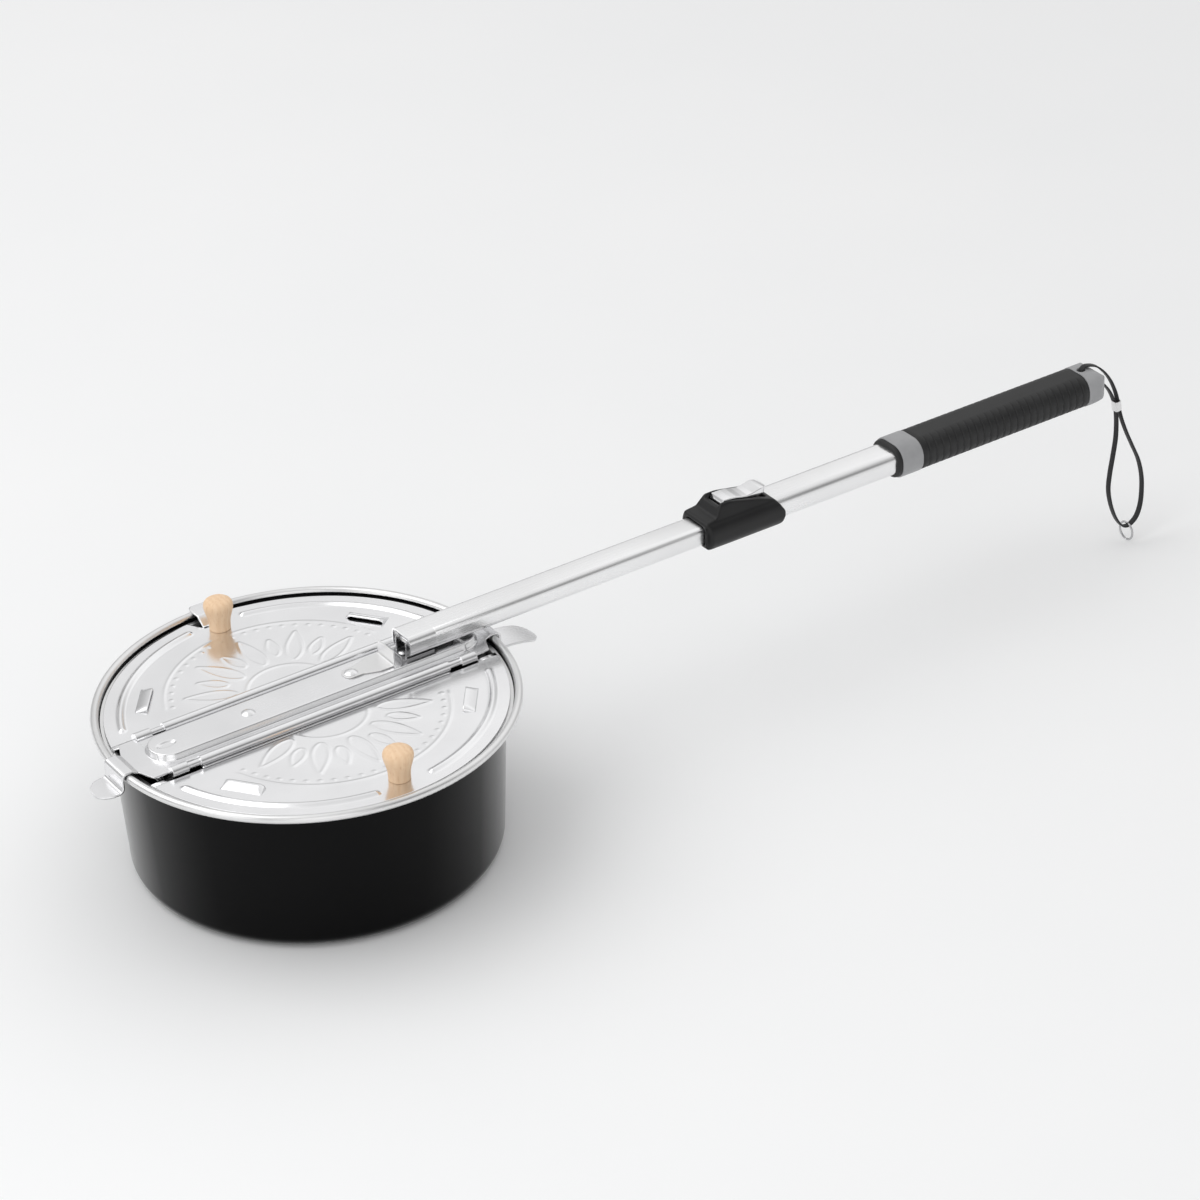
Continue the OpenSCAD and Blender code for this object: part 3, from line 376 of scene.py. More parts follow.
def lathe(profile, segments, centre=(0, 0), z0=0.0):
    """An outline of (radius, height) turned about a vertical axis. A point on the axis stays one point."""
    verts, faces, rows = [], [], []
    for r, z in profile:
        if r < 1e-6:
            rows.append([len(verts)] * segments)
            verts.append((centre[0], centre[1], z0 + z))
        else:
            rows.append(list(range(len(verts), len(verts) + segments)))
            for k in range(segments):
                a = 2 * math.pi * k / segments
                verts.append((centre[0] + r * math.cos(a), centre[1] + r * math.sin(a), z0 + z))
    for i in range(len(rows) - 1):
        for k in range(segments):
            n = (k + 1) % segments
            quad = [rows[i][k], rows[i][n], rows[i + 1][n], rows[i + 1][k]]
            face = tuple(dict.fromkeys(quad))
            if len(face) > 2:
                faces.append(face)
    return verts, faces


# Wrist strap first: flat webbing along the route that its solid has, from the cap
STRAP = [
    (4, 0, 7.6), (4.5, 0, 11.2), (8, 0, 12.6), (15, -0.5, 10.4), (21.5, -1, 4.6), (26.5, -1.5, -2.4),
    (29.5, -2.5, -9.4), (31, -3.5, -15.4), (32, -4.5, -22.4), (33, -6, -29.4), (35, -8.5, -38.4),
    (38, -11.5, -48.4), (41, -14.5, -58.4), (41.5, -17.5, -68.4), (40, -20, -77.4), (37, -22.5, -85.4),
    (32.5, -24.5, -91.4), (27.5, -25.4, -94.4), (23.5, -25.6, -95.2), (19.5, -25, -93.6),
    (16, -23, -87.4), (14, -20.5, -78.4), (14.5, -17.5, -69.4), (17.5, -15, -60.4), (21.5, -12.5, -51.4),
    (26, -9.5, -41.4), (28.5, -7, -34.4), (29.5, -5.5, -28.4), (29.9, -4, -22.4), (28.8, -2.5, -16.4),
    (26.5, -1, -10.4), (22.5, 0, -4.9), (18, 0, -1.4), (13, 0, -1)
]


def smooth_route(points, per_span):
    """A smooth line through the points."""
    pts = [np.array(p, float) for p in points]
    out = []
    for i in range(len(pts) - 1):
        p0 = pts[max(i - 1, 0)]
        p1, p2 = pts[i], pts[i + 1]
        p3 = pts[min(i + 2, len(pts) - 1)]
        for k in range(per_span):
            t = k / per_span
            out.append(0.5 * (2 * p1 + (p2 - p0) * t + (2 * p0 - 5 * p1 + 4 * p2 - p3) * t * t
                              + (3 * p1 - p0 - 3 * p2 + p3) * t ** 3))
    out.append(pts[-1])
    return out


def make_strap():
    wide, thick, corner = 3.8, 1.1, 0.45
    route = [p + np.array((CAP_X, 0, HANDLE_Z)) for p in smooth_route(STRAP, 5)]
    outline = rounded_rect(wide, thick, corner, 3)
    rings = []
    for i, p in enumerate(route):
        t = route[min(i + 1, len(route) - 1)] - route[max(i - 1, 0)]
        t = t / np.linalg.norm(t)
        across = np.array((0, 1.0, 0)) - t[1] * t
        across /= np.linalg.norm(across)
        up = np.cross(t, across)
        rings.append([p + a * across + b * up for a, b in outline])
    verts, faces = loft(rings)
    strap = make("strap_webbing", verts, faces, [WEB], "handle_outer",
                 replaces=["wrist_strap"], sharp=60)
    length = sum(float(np.linalg.norm(route[i + 1] - route[i])) for i in range(len(route) - 1)) * MM
    return strap, [(p * MM).tolist() for p in route], length


strap, strap_path, strap_length = make_strap()


def make_ring():
    """Bent wire ring with a small gap where its ends meet."""
    centre = np.array((CAP_X + 23.5, -25.6, HANDLE_Z - 98.6))
    radius, wire, steps, sides = 5.8, 0.7, 72, 14
    side = np.array((1.0, 0, 0))
    rings = []
    for i in range(steps + 1):
        a = math.radians(-86 + 352 * i / steps)
        out = np.array((0, math.cos(a), math.sin(a)))
        thick = wire * (0.55 if i in (0, steps) else 1.0)
        rings.append([centre + radius * out + thick * (math.cos(b) * out + math.sin(b) * side)
                      for b in [2 * math.pi * k / sides for k in range(sides)]])
    verts, faces = loft(rings)
    return make("strap_wire_ring", verts, faces, [WIRE], "handle_outer",
                replaces=["strap_ring"])


def make_crimp():
    """Flat sleeve pressed round the strap's two strands, with rounded lips and two pinch grooves."""
    centre = np.array((CAP_X + 30.7, -3.95, HANDLE_Z - 20.9))
    tilt = math.radians(8)
    axis = np.array((-math.sin(tilt), 0, math.cos(tilt)))
    across = np.array((math.cos(tilt), 0, math.sin(tilt)))
    half = 3.5

    def ring(at, w, h, r):
        return [centre + at * axis + a * across + np.array((0, b, 0)) for a, b in rounded_rect(w, h, r, 5)]

    steps = [(-half, -0.35), (-3.2, 0), (-1.9, 0), (-1.4, -0.3), (-0.9, 0),
             (0.9, 0), (1.4, -0.3), (1.9, 0), (3.2, 0), (half, -0.35)]
    rings = [ring(at, 4.8 + grow, 5.6 + grow, 1.4) for at, grow in steps]
    rings += [ring(at, 4.0, 4.8, 1.0) for at in (half, -half)]
    verts, faces = loft(rings, closed=True)
    return make("strap_sleeve", verts, faces, [RIM], "handle_outer",
                replaces=["strap_crimp"])


strap_ring = make_ring()
strap_crimp = make_crimp()


# Pan: one drawn shell with a lid ledge and a rolled rim
def make_pan():
    base, corner = 98, 8
    lean, rise = 4.4, 80.5
    neck, neck_z, neck_r = 111.9, 88.5, 1.5
    bead, bead_z = 117.6, 93.1
    wall = (0.1, 0.3, 0.5, 0.7, 0.9, 1.0)
    segments = 240
    outside = [(0, 0), (40, 0), (90, 0), (base, 0)] + arc(base, corner, corner, -90, 0, 14)[1:]
    outside += [(106 + lean * t, corner + rise * t) for t in wall]
    outside += arc(neck, neck_z, neck_r, 180, 90, 8)[1:]
    rim = [(115.6, 90.0), (116.2, 90.15), (116.4, 90.6), (116.4, bead_z)]
    rim += arc(bead, bead_z, BEAD_R - PAN_SHEET, 180, -80, 16)[1:]
    rim += arc(bead, bead_z, BEAD_R, -80, 175, 40)
    inner_wall = [(115.2, bead_z), (115.2, 91.7), (115.0, 91.3), (114.6, LEDGE_Z)]
    inside = arc(neck, neck_z, neck_r + PAN_SHEET, 90, 180, 8)
    inside += [(109.2 - lean * t, neck_z - rise * t) for t in wall]
    inside += arc(base, corner, corner - PAN_SHEET, 0, -90, 12)[1:]
    inside += [(r, PAN_SHEET) for r in (90, 40, 0)]
    profile = outside + rim + inner_wall + inside
    verts, faces = lathe(profile, segments)
    # The bead and the ledge are bare metal, and all below the ledge is lining. The upright inner wall between
    # bead and ledge keeps the black enamel as painted shade for the dark gap under the lids' edge
    bead_end = len(outside) + len(rim) - 1
    ledge = bead_end + len(inner_wall)
    bare = [*range(len(outside) - 1, bead_end), ledge]
    bands = [1 if i in bare else 2 if i > ledge else 0 for i in range(len(profile) - 1)]
    make("pan_shell", verts, faces, [ENAMEL, RIM, LINING], "pan_body",
         face_mats=[band for band in bands for k in range(segments)],
         replaces=["pan"], sharp=50)


make_pan()


# Lids: pressed sheets whose top follows a height map
def rib_height(x, y):
    """Two round ribs along the lid's edge."""
    radius, half_width, half_height = 103.3, 2.9, 0.75
    a = np.degrees(np.arctan2(y, x))
    h = np.zeros_like(x)
    for a0, a1 in ((20, 80), (100, 160)):
        c = np.radians(np.clip(a, a0, a1))
        d = np.hypot(x - radius * np.cos(c), y - radius * np.sin(c))
        h = np.maximum(h, half_height * (1 + np.cos(np.pi * np.clip(d / half_width, 0, 1))))
    return h


def motif_height(x, y):
    """A plain pressed ornament: a fan of drop-shaped rays, an arc of beads round it and an arc on each side."""
    cx, cy = 0.0, 16.0
    line = 0.8
    r = np.hypot(x - cx, y - cy)
    a = np.degrees(np.arctan2(y - cy, x - cx))
    h = np.zeros_like(x)
    for k in range(9):
        inner, outer, wide = (30.0, 61.0, 4.6) if k % 2 == 0 else (36.0, 55.0, 3.4)
        t = np.clip((r - inner) / (outer - inner), 0, 1)
        half = wide * np.sin(np.pi * t ** 0.75) ** 0.9
        off = np.abs(np.radians(a - (26 + 16 * k)) * r)
        inside = (r > inner) & (r < outer)
        d = np.where(inside, np.abs(off - half), 9.0)
        h = np.maximum(h, 0.40 * np.exp(-((d / line) ** 2)))
        h = np.where(inside & (off < half), np.maximum(h, 0.10), h)
    beads, bead_arc = 22, 67.5
    for k in range(beads + 1):
        b = math.radians(20 + 140 * k / beads)
        d = np.hypot(x - cx - bead_arc * math.cos(b), y - cy - bead_arc * math.sin(b))
        h = np.maximum(h, 0.42 * (1 - smoothstep(0.0, 1.7, d)))
    for radius in (25.5, 71.5):
        edge = np.clip(np.minimum(a - 18, 162 - a) / 3, 0, 1)
        h = np.maximum(h, 0.28 * edge * np.exp(-(((r - radius) / line) ** 2)))
    return h


def slot_lean(y):
    """How far the outer edge of the slot beside the lift tab leans away from the tab."""
    return np.clip((y - (LIFT_Y - 1)) / (LID_R - LIFT_Y + 1), 0, 1) * LIFT_SLOT


def lid_surface(far):
    """Grid of the half lid with Y outwards, with holes under the louvres and slots beside the lift tab."""
    root, mid, end = LIFT_HALF + 0.2, 25, LID_R * 0.9765
    xs = np.concatenate([
        np.linspace(-end, -mid, 118)[:-1], np.linspace(-mid, -root, 24)[:-1], np.linspace(-root, root, 22),
        np.linspace(root, mid, 24)[1:], np.linspace(mid, end, 118)[1:]])
    ts = np.linspace(0, 1, 124)
    x = np.repeat(xs[:, None], len(ts), 1)
    top = np.sqrt(np.maximum(LID_R ** 2 - x ** 2, PANEL_Y ** 2))
    y = PANEL_Y + (top - PANEL_Y) * ts[None, :]
    if far:
        # Columns beside the tab lean outwards, so that the slots have straight edges
        side = np.clip((mid - np.abs(x)) / (mid - root), 0, 1)
        x = x + np.sign(x) * slot_lean(y) * side
        y = np.where(np.hypot(x, y) > LID_R, np.sqrt(np.maximum(LID_R ** 2 - x ** 2, 0)), y)
    z = LID_Z + rib_height(x, y) + motif_height(x, y)
    nx, ny = x.shape
    verts = np.stack([x, y, z], -1).reshape(-1, 3)
    cx = (x[:-1, :-1] + x[1:, 1:]) / 2
    cy = (y[:-1, :-1] + y[1:, 1:]) / 2
    keep = np.ones_like(cx, bool)
    hole_half, hole_in, hole_out = 10.6, 88.2, 93.4
    for at in LOUVRES:
        a = math.radians(at)
        radial = cx * math.cos(a) + cy * math.sin(a)
        along = -cx * math.sin(a) + cy * math.cos(a)
        keep &= ~((np.abs(along) < hole_half) & (radial > hole_in) & (radial < hole_out))
    if far:
        keep &= ~((cy > LIFT_Y - 1) & (np.abs(cx) < root + slot_lean(cy) - 0.05))
    faces = []
    for i in range(nx - 1):
        for j in range(ny - 1):
            if keep[i, j]:
                a = i * ny + j
                faces.append((a, a + ny, a + ny + 1, a + 1))
    used = sorted({i for f in faces for i in f})
    index = {v: i for i, v in enumerate(used)}
    return [tuple(verts[i]) for i in used], [tuple(index[i] for i in f) for f in faces]


def hinge_patch():
    """The flat strip between the panel and the rolled hinge edge."""
    xs = np.linspace(-CURL_HALF, CURL_HALF, 60)
    verts, faces = [], []
    for x in xs:
        verts += [(x, HINGE_Y, LID_Z), (x, PANEL_Y, LID_Z)]
    for i in range(len(xs) - 1):
        faces.append((2 * i, 2 * i + 2, 2 * i + 3, 2 * i + 1))
    return verts, faces


def ear_patch(side):
    """The lid's ear beside the bar's end, set back from the rim along the hinge."""
    verts, faces = [], []
    ys = np.concatenate([np.linspace(HINGE_Y - 8.5, HINGE_Y + 0.2, 10),
                         np.linspace(HINGE_Y + 0.7, PANEL_Y, 8)])
    for y in ys:
        set_back = 5.5 if y < HINGE_Y + 0.5 else 0.0
        edge = math.sqrt((LID_R - set_back) ** 2 - y ** 2)
        verts += [(side * (FLANGE_HALF + 0.4), y, LID_Z), (side * edge, y, LID_Z)]
    for i in range(len(ys) - 1):
        faces.append((2 * i, 2 * i + 1, 2 * i + 3, 2 * i + 2))
    return verts, faces


def louvre_patch(at):
    """A vent hood: rises towards the lid's middle, rounded at its ends and open along its inner edge."""
    outer, depth, half_width, height = 94.5, 7.0, 12.0, 2.6
    straight, rounded = 0.66, 0.34
    a = math.radians(at)
    radial = np.array((math.cos(a), math.sin(a), 0))
    along = np.array((-math.sin(a), math.cos(a), 0))
    verts, faces = [], []
    us = np.linspace(-1, 1, 41)
    vs = np.linspace(0, 1, 13)
    for u in us:
        end = math.sqrt(max(0.0, 1 - (max(abs(u) - straight, 0.0) / rounded) ** 2))
        for v in vs:
            rise = height * end * (0.35 * v + 0.65 * math.sin(v * math.pi / 2))
            p = radial * (outer - depth * v) + along * half_width * u
            verts.append((p[0], p[1], LID_Z + rise))
    n = len(vs)
    for i in range(len(us) - 1):
        for j in range(n - 1):
            b = i * n + j
            faces.append((b, b + 1, b + n + 1, b + n))
    return verts, faces


def path_strip(path, half_width, across_steps, point):
    """A sheet along a path of (run, height), as wide as half_width(run) says on each side."""
    verts, faces = [], []
    for run, height in path:
        w = half_width(run)
        for k in range(across_steps + 1):
            verts.append(point(run, w * (2 * k / across_steps - 1), height))
    n = across_steps + 1
    for i in range(len(path) - 1):
        for k in range(across_steps):
            a = i * n + k
            faces.append((a, a + 1, a + n + 1, a + n))
    return verts, faces


def round_path(points, radius, steps=8):
    """A path of (run, height) with its corners rounded."""
    out = [points[0]]
    for a, b, c in zip(points, points[1:], points[2:]):
        a, b, c = np.array(a, float), np.array(b, float), np.array(c, float)
        u, v = (a - b) / np.linalg.norm(a - b), (c - b) / np.linalg.norm(c - b)
        half = math.acos(max(-1, min(1, float(u @ v)))) / 2
        back = min(radius / math.tan(half), 0.45 * np.linalg.norm(a - b), 0.45 * np.linalg.norm(c - b))
        p, q = b + u * back, b + v * back
        for k in range(steps + 1):
            t = k / steps
            out.append(tuple((1 - t) ** 2 * p + 2 * t * (1 - t) * b + t * t * q))
    out.append(points[-1])
    return out


def lift_patch():
    """The far lid's lift tab: up over the rim, with round corners at its tip."""
    tip, corner = RIM_R + 1.5, 3.0
    straight = tip - corner
    run = [(LIFT_Y - 2.2, LID_Z), (LIFT_Y, LID_Z), (LIFT_Y + 6, LIFT_Z), (tip, LIFT_Z)]
    path = [p for p in round_path(run, 1.6) if p[0] < straight]
    path += [(straight + corner * math.sin(b), LIFT_Z) for b in np.linspace(0, math.pi / 2, 9)]

    def half(y):
        past = max(0.0, y - straight)
        return LIFT_HALF - corner + math.sqrt(max(0.0, corner ** 2 - past ** 2))

    return path_strip(path, half, 14, lambda y, x, z: (x, y, z))


def curl():
    """The rolled hinge edge, round the pin."""
    outline = arc(HINGE_Y, HINGE_Z, CURL_R, 270, -15, 39)
    outline += arc(HINGE_Y, HINGE_Z, CURL_R - LID_SHEET, -15, 270, 39)
    ends = (-CURL_HALF, -CURL_HALF + 0.3, CURL_HALF - 0.3, CURL_HALF)
    return loft([[(x, y, z) for y, z in outline] for x in ends])


def make_lid(far):
    parts = [lid_surface(far), hinge_patch(), ear_patch(1), ear_patch(-1)]
    parts += [louvre_patch(at) for at in LOUVRES]
    if far:
        parts.append(lift_patch())
    verts, faces = join(parts)
    curl_verts, curl_faces = curl()
    side = 1 if far else -1
    name = "far" if far else "near"
    sheet = make(name + "_lid_sheet", [(x, side * y, z) for x, y, z in verts], faces, [LID], name + "_half",
                 replaces=[name + "_lid"], sharp=None)
    for p in sheet.data.polygons:
        if p.normal.z < 0:
            p.flip()
    thicken(sheet, LID_SHEET)
    make(name + "_lid_curl", [(x, side * y, z) for x, y, z in curl_verts], curl_faces, [LID],
         name + "_half")


make_lid(True)
make_lid(False)


# Knobs
def make_knob(side):
    profile = [(0, 0)] + arc(5.6, 0.6, 0.6, -90, 0, 4) + [(6.2, 2.0), (6.24, 3.6), (6.38, 5.2)]
    profile += [(6.64, 6.8), (7.02, 8.4), (7.48, 10.0), (7.94, 11.6), (8.3, 13.0), (8.52, 14.2)]
    profile += [(8.58, 15.2), (8.48, 16.2), (8.16, 17.1), (7.5, 17.95), (6.5, 18.65), (5.2, 19.1)]
    profile += [(3.6, 19.38), (1.8, 19.52), (0, 19.55)]
    verts, faces = lathe(profile, 72, (0, side * KNOB_Y), LID_Z)
    name = "far" if side > 0 else "near"
    make(name + "_knob_turned", verts, faces, [WOOD], name + "_half",
         replaces=[name + "_knob"], sharp=60)


make_knob(1)
make_knob(-1)


# Cross bar: one pressed strip from tab to tab
def bar_path(reach):
    """Side view of one end on the sheet's top, from the flange over the rim and along the finger tab."""
    over, bend = 118.6, 3.2
    foot, foot_z, turn = 124.3, 88.5, 2.5
    tab_arch = 60.0
    rise = [(FLANGE_HALF, FLANGE_TOP), (111.46, FLANGE_TOP), (114.9, CLIP_Z), (over, CLIP_Z)]
    path = [(x, FLANGE_TOP) for x in np.linspace(FLANGE_HALF, 110.3, 32)] + round_path(rise, 1.6)[1:]
    path += arc(over, CLIP_Z - bend, bend, 90, 0, 10)[1:]
    path += [(CLIP_X, 91.0), (CLIP_X, foot_z)]
    path += arc(foot, foot_z, turn, 180, 270, 8)[1:]
    sweep = math.degrees(math.asin((reach - foot) / tab_arch))
    path += arc(foot, foot_z - turn - tab_arch, tab_arch, 90, 90 - sweep, 26)[1:]
    return path


def end_half_width(reach):
    """Half the width of one end: a wide flange that narrows to a tab with a round tip."""
    flange, tab, tip = 20.0, 10.0, 9.0
    narrow_from, narrow_over = 107.4, 4.2

    def half(x):
        past = x - (reach - tip)
        if past > 0:
            return max(0.15, tab - tip + math.sqrt(max(0.0, tip ** 2 - past ** 2)))
        return flange - (flange - tab) * float(np.clip((x - narrow_from) / narrow_over, 0, 1))

    return half


def bar_height(x, y):
    """The bar's top: a flat ridge with rounded shoulders, and a dimple at its left end."""
    shoulder, slope, soft = 11.45, 1.5, 0.02
    d = np.hypot(np.maximum(np.maximum(x - RIDGE_HALF - RIDGE_MORE, -x - RIDGE_HALF), 0), y)
    t = (d - shoulder) / slope
    fall = 0.5 * (1 + np.sqrt(t ** 2 + soft) - np.sqrt((t - 1) ** 2 + soft))
    ridge = (RIDGE_Z - FLANGE_TOP) * (1 - fall)
    dimple = 0.9 * (1 - smoothstep(0.55, 1.0, np.hypot((x + 88.5) / 6.5, y / 3.2)))
    return FLANGE_TOP + ridge - dimple


def bar_end(sign, reach):
    """One end of the bar. Its flat part is cut finely, because it follows the ridge's end."""
    path = bar_path(reach)
    dense = []
    for p, q in zip(path, path[1:]):
        cuts = 2 if p[0] < RISE_X else 1
        dense += [tuple(np.array(p) + (np.array(q) - np.array(p)) * k / cuts) for k in range(cuts)]
    dense.append(path[-1])

    def place(run, across, height):
        lift = 0.0
        if run < RISE_X:
            lift = float(bar_height(np.array(sign * run), np.array(across))) - FLANGE_TOP
        return (sign * run, across, height + max(lift, 0.0))

    return path_strip(dense, end_half_width(reach), 90, place)


def make_bar():
    fine_to, ridge_y = -80, 13.6
    xs = np.concatenate([np.linspace(-FLANGE_HALF, fine_to, 90)[:-1], np.linspace(fine_to, FLANGE_HALF, 60)])
    ys = np.concatenate([np.linspace(-FLANGE_Y, -ridge_y, 6)[:-1], np.linspace(-ridge_y, ridge_y, 150)[:-1],
                         np.linspace(ridge_y, FLANGE_Y, 6)])
    x, y = np.meshgrid(xs, ys, indexing="ij")
    verts = np.stack([x, y, bar_height(x, y)], -1).reshape(-1, 3).tolist()
    n = len(ys)
    faces = [(i * n + j, i * n + j + 1, (i + 1) * n + j + 1, (i + 1) * n + j)
             for i in range(len(xs) - 1) for j in range(n - 1)]
    verts, faces = join([(verts, faces)] + [bar_end(sign, reach) for sign, reach in TAB_REACHES])
    bar = make("bar_pressing", verts, faces, [STEEL], "lid_frame",
               replaces=["cross_bar"], sharp=None)
    for p in bar.data.polygons:
        if abs(p.center.x) < (CLIP_X - 0.3) * MM and p.normal.z < 0:
            p.flip()
    bm = bmesh.new()
    bm.from_mesh(bar.data)
    bmesh.ops.remove_doubles(bm, verts=bm.verts[:], dist=1e-6)
    bm.to_mesh(bar.data)
    bm.free()
    thicken(bar, BAR_SHEET)


def make_knuckles():
    """Four loops round the hinge pins, each with a web to the bar's flange."""
    length, outer, bore, chamfer = 10, 3.3, 2.15, 0.25
    low, high = FLANGE_TOP - BAR_SHEET, FLANGE_TOP
    parts = []
    for x0 in (-FLANGE_HALF, FLANGE_HALF - length):
        x1 = x0 + length
        for side in (-1, 1):
            rings = []
            for x, r in ((x0, outer - 0.2), (x0 + chamfer, outer), (x1 - chamfer, outer), (x1, outer - 0.2),
                         (x1, bore), (x0, bore)):
                rings.append([(x, side * HINGE_Y + r * math.cos(b), HINGE_Z + r * math.sin(b))
                              for b in np.linspace(0, 2 * math.pi, 41)[:-1]])
            parts.append(loft(rings, closed=True))
            y0, y1 = side * (FLANGE_Y - 0.6), side * (HINGE_Y - 2.6)
            web = ((y0, low), (y1, low), (y1, high), (y0, high))
            parts.append(loft([[(x, y, z) for y, z in web] for x in (x0, x0 + 0.2, x1 - 0.2, x1)]))
    verts, faces = join(parts)
    make("bar_knuckles", verts, faces, [STEEL], "lid_frame")


make_bar()
make_knuckles()


# Handle tubes
def tube(name, x0, x1, size, body, replaces):
    w, h, r = size
    lip = 0.3
    rings = [section(x, w + grow, h + grow, r)
             for x, grow in ((x0, -lip), (x0 + lip, 0), (x1 - lip, 0), (x1, -lip))]
    rings += [section(x, w - 2 * TUBE_WALL, h - 2 * TUBE_WALL, r - TUBE_WALL) for x in (x1, x0)]
    verts, faces = loft(rings, closed=True)
    make(name, verts, faces, [TUBE], body, replaces=replaces)


def make_tube_end():
    """The lower tube's pan end, which is open below for the pivot bracket."""
    w, h, r = LOWER_TUBE
    gap_half = 8.45

    def open_run(points):
        keep = [p for p in points if not (p[1] < 0 and abs(p[0]) < gap_half)]
        first = max(range(len(keep)), key=lambda i: math.dist(keep[i], keep[i - 1]))
        return keep[first:] + keep[:first]

    outer = open_run(rounded_rect(w, h, r, 24))
    inner = open_run(rounded_rect(w - 2 * TUBE_WALL, h - 2 * TUBE_WALL, r - TUBE_WALL, 24))
    loop = outer + inner[::-1]
    stations = (OPEN_X, OPEN_X + 0.3, LOWER_X - 0.2, LOWER_X)
    verts, faces = loft([[(x, y, HANDLE_Z + z) for y, z in loop] for x in stations])
    make("lower_tube_end", verts, faces, [TUBE], "handle_inner")


tube("lower_tube_drawn", LOWER_X, LOWER_END, LOWER_TUBE, "handle_inner", ["lower_tube"])
make_tube_end()
tube("upper_tube_drawn", UPPER_X, CAP_X, UPPER_TUBE, "handle_outer", ["upper_tube"])


# Grip, its front ring and lip
def make_grip():
    """Ribbed rubber sleeve: narrow grooves round its sides and underside, fading out on the smooth top."""
    ribs, groove_depth = 25, 0.6
    edge, edge_in = 0.35, -0.45
    pitch = (CAP_X - GRIP_X) / ribs
    groove = ((-1.1, 0.0), (-0.75, 0.15), (-0.45, 0.85), (0.0, 1.0), (0.45, 0.85), (0.75, 0.15), (1.1, 0.0))
    stations = [(GRIP_X, edge_in, 0.0), (GRIP_X + edge, 0.0, 0.0)]
    for k in range(1, ribs):
        stations += [(GRIP_X + k * pitch + off, 0.0, depth) for off, depth in groove]
    stations += [(CAP_X - edge, 0.0, 0.0), (CAP_X, edge_in, 0.0)]
    rings = []
    for x, grow, depth in stations:
        ring = []
        for y, z in rounded_rect(28.0, 21.4, 9.6, 16):
            off_top = abs(math.degrees(math.atan2(y, z)))
            cut = groove_depth * depth * float(smoothstep(24, 58, off_top)) - grow
            k = 1 - cut / math.hypot(y, z)
            ring.append((x, y * k, HANDLE_Z + z * k))
        rings.append(ring)
    rings += [section(x, *BORE, steps=16) for x in (CAP_X, GRIP_X)]
    verts, faces = loft(rings, closed=True)
    make("grip_ribbed", verts, faces, [RUBBER], "handle_outer",
         replaces=["grip"], sharp=60)


def sleeve(name, x0, stations, mat, replaces):
    """A sleeve round the tube: stations of (place after x0, width, height, corner), then back by the bore."""
    rings = [section(x0 + at, w, h, r, steps=14) for at, w, h, r in stations]
    rings += [section(x0 + at, *BORE, steps=14) for at in (stations[-1][0], stations[0][0])]
    verts, faces = loft(rings, closed=True)
    make(name, verts, faces, [mat], "handle_outer", replaces=replaces)


make_grip()
sleeve("grip_front_lip", LIP_X,
       [(0.0, 25.2, 18.6, 8.4), (0.3, 26.2, 19.6, 8.9), (1.0, 26.9, 20.3, 9.1), (2.0, 27.0, 20.4, 9.1),
        (3.0, 27.0, 20.4, 9.1)], RUBBER, ["grip_lip"])
sleeve("grip_front_ring", RING_X,
       [(0.0, 27.9, 21.3, 9.6), (0.4, 28.4, 21.8, 9.8), (1.2, 28.6, 22.0, 9.9), (13.9, 28.6, 22.0, 9.9),
        (14.6, 28.5, 21.9, 9.85), (15.0, 28.2, 21.6, 9.7)], GREY, ["front_ring"])


# Moulded and folded pieces: the solid's own shape with its edges softened
def soften(node_name, name, voxel_mm, smooth_steps, mat, body, filling=None, reshape=None):
    """A softened copy of a solid. Filling is added before, and reshape moves each point after."""
    source = NODES[node_name].data.copy()
    if filling:
        bm = bmesh.new()
        bm.from_mesh(source)
        corners = [bm.verts.new(Vector(v) * MM) for v in filling[0]]
        for face in filling[1]:
            bm.faces.new([corners[i] for i in face])
        bm.to_mesh(source)
        bm.free()
    obj = add_object(name, source)
    remesh = obj.modifiers.new("remesh", "REMESH")
    remesh.mode = "VOXEL"
    remesh.voxel_size = voxel_mm * MM
    relax = obj.modifiers.new("relax", "SMOOTH")
    relax.factor = 0.5
    relax.iterations = smooth_steps
    depsgraph = bpy.context.evaluated_depsgraph_get()
    mesh = bpy.data.meshes.new_from_object(obj.evaluated_get(depsgraph))
    if reshape:
        for vertex in mesh.vertices:
            vertex.co = Vector(reshape(*(vertex.co / MM))) * MM
    obj.modifiers.clear()
    obj.data = mesh
    mesh.materials.clear()
    mesh.materials.append(mat)
    mesh.polygons.foreach_set("use_smooth", [True] * len(mesh.polygons))
    mesh.polygons.foreach_set("material_index", [0] * len(mesh.polygons))
    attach(obj, body)
    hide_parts(node_name)


def pin_plugs():
    """Plugs in the lever pin's bores, flush with the collar's sloping flanks."""
    radius = 1.8
    low, low_half = 2.0, 13.2
    high, high_half = 17.5, 8.5
    parts = []
    for side in (-1, 1):
        rings = []
        for depth in (2.6, 1.3, 0.0):
            ring = []
            for c in np.linspace(0, 2 * math.pi, 25)[:-1]:
                up = LEVER_PIN_UP + radius * math.sin(c)
                flank = low_half - (low_half - high_half) * (up - low) / (high - low)
                ring.append((LEVER_PIN_X + radius * math.cos(c), side * (flank - depth), HANDLE_Z + up))
            rings.append(ring)
        parts.append(loft(rings))
    return join(parts)


def round_mouth(x, y, z):
    """Rounds the collar's front edges as seen from above."""
    radius = 3.6
    t = min(1.0, 1 - (x - MOUTH_X) / radius)
    if t > 0:
        inward = radius * (1 - math.sqrt(1 - t * t)) * float(smoothstep(10.8, 14.0, abs(y)))
        y -= math.copysign(inward, y)
    return x, y, z


soften("lock_collar", "collar_moulding", 0.45, 18, PLASTIC, "handle_outer",
       pin_plugs(), round_mouth)
soften("end_cap", "cap_moulding", 0.4, 6, GREY, "handle_outer")
soften("latch", "latch_bent", 0.2, 3, RIM, "latch_arm")
soften("pivot_bracket", "bracket_folded", 0.2, 3, WIRE, "lid_frame")


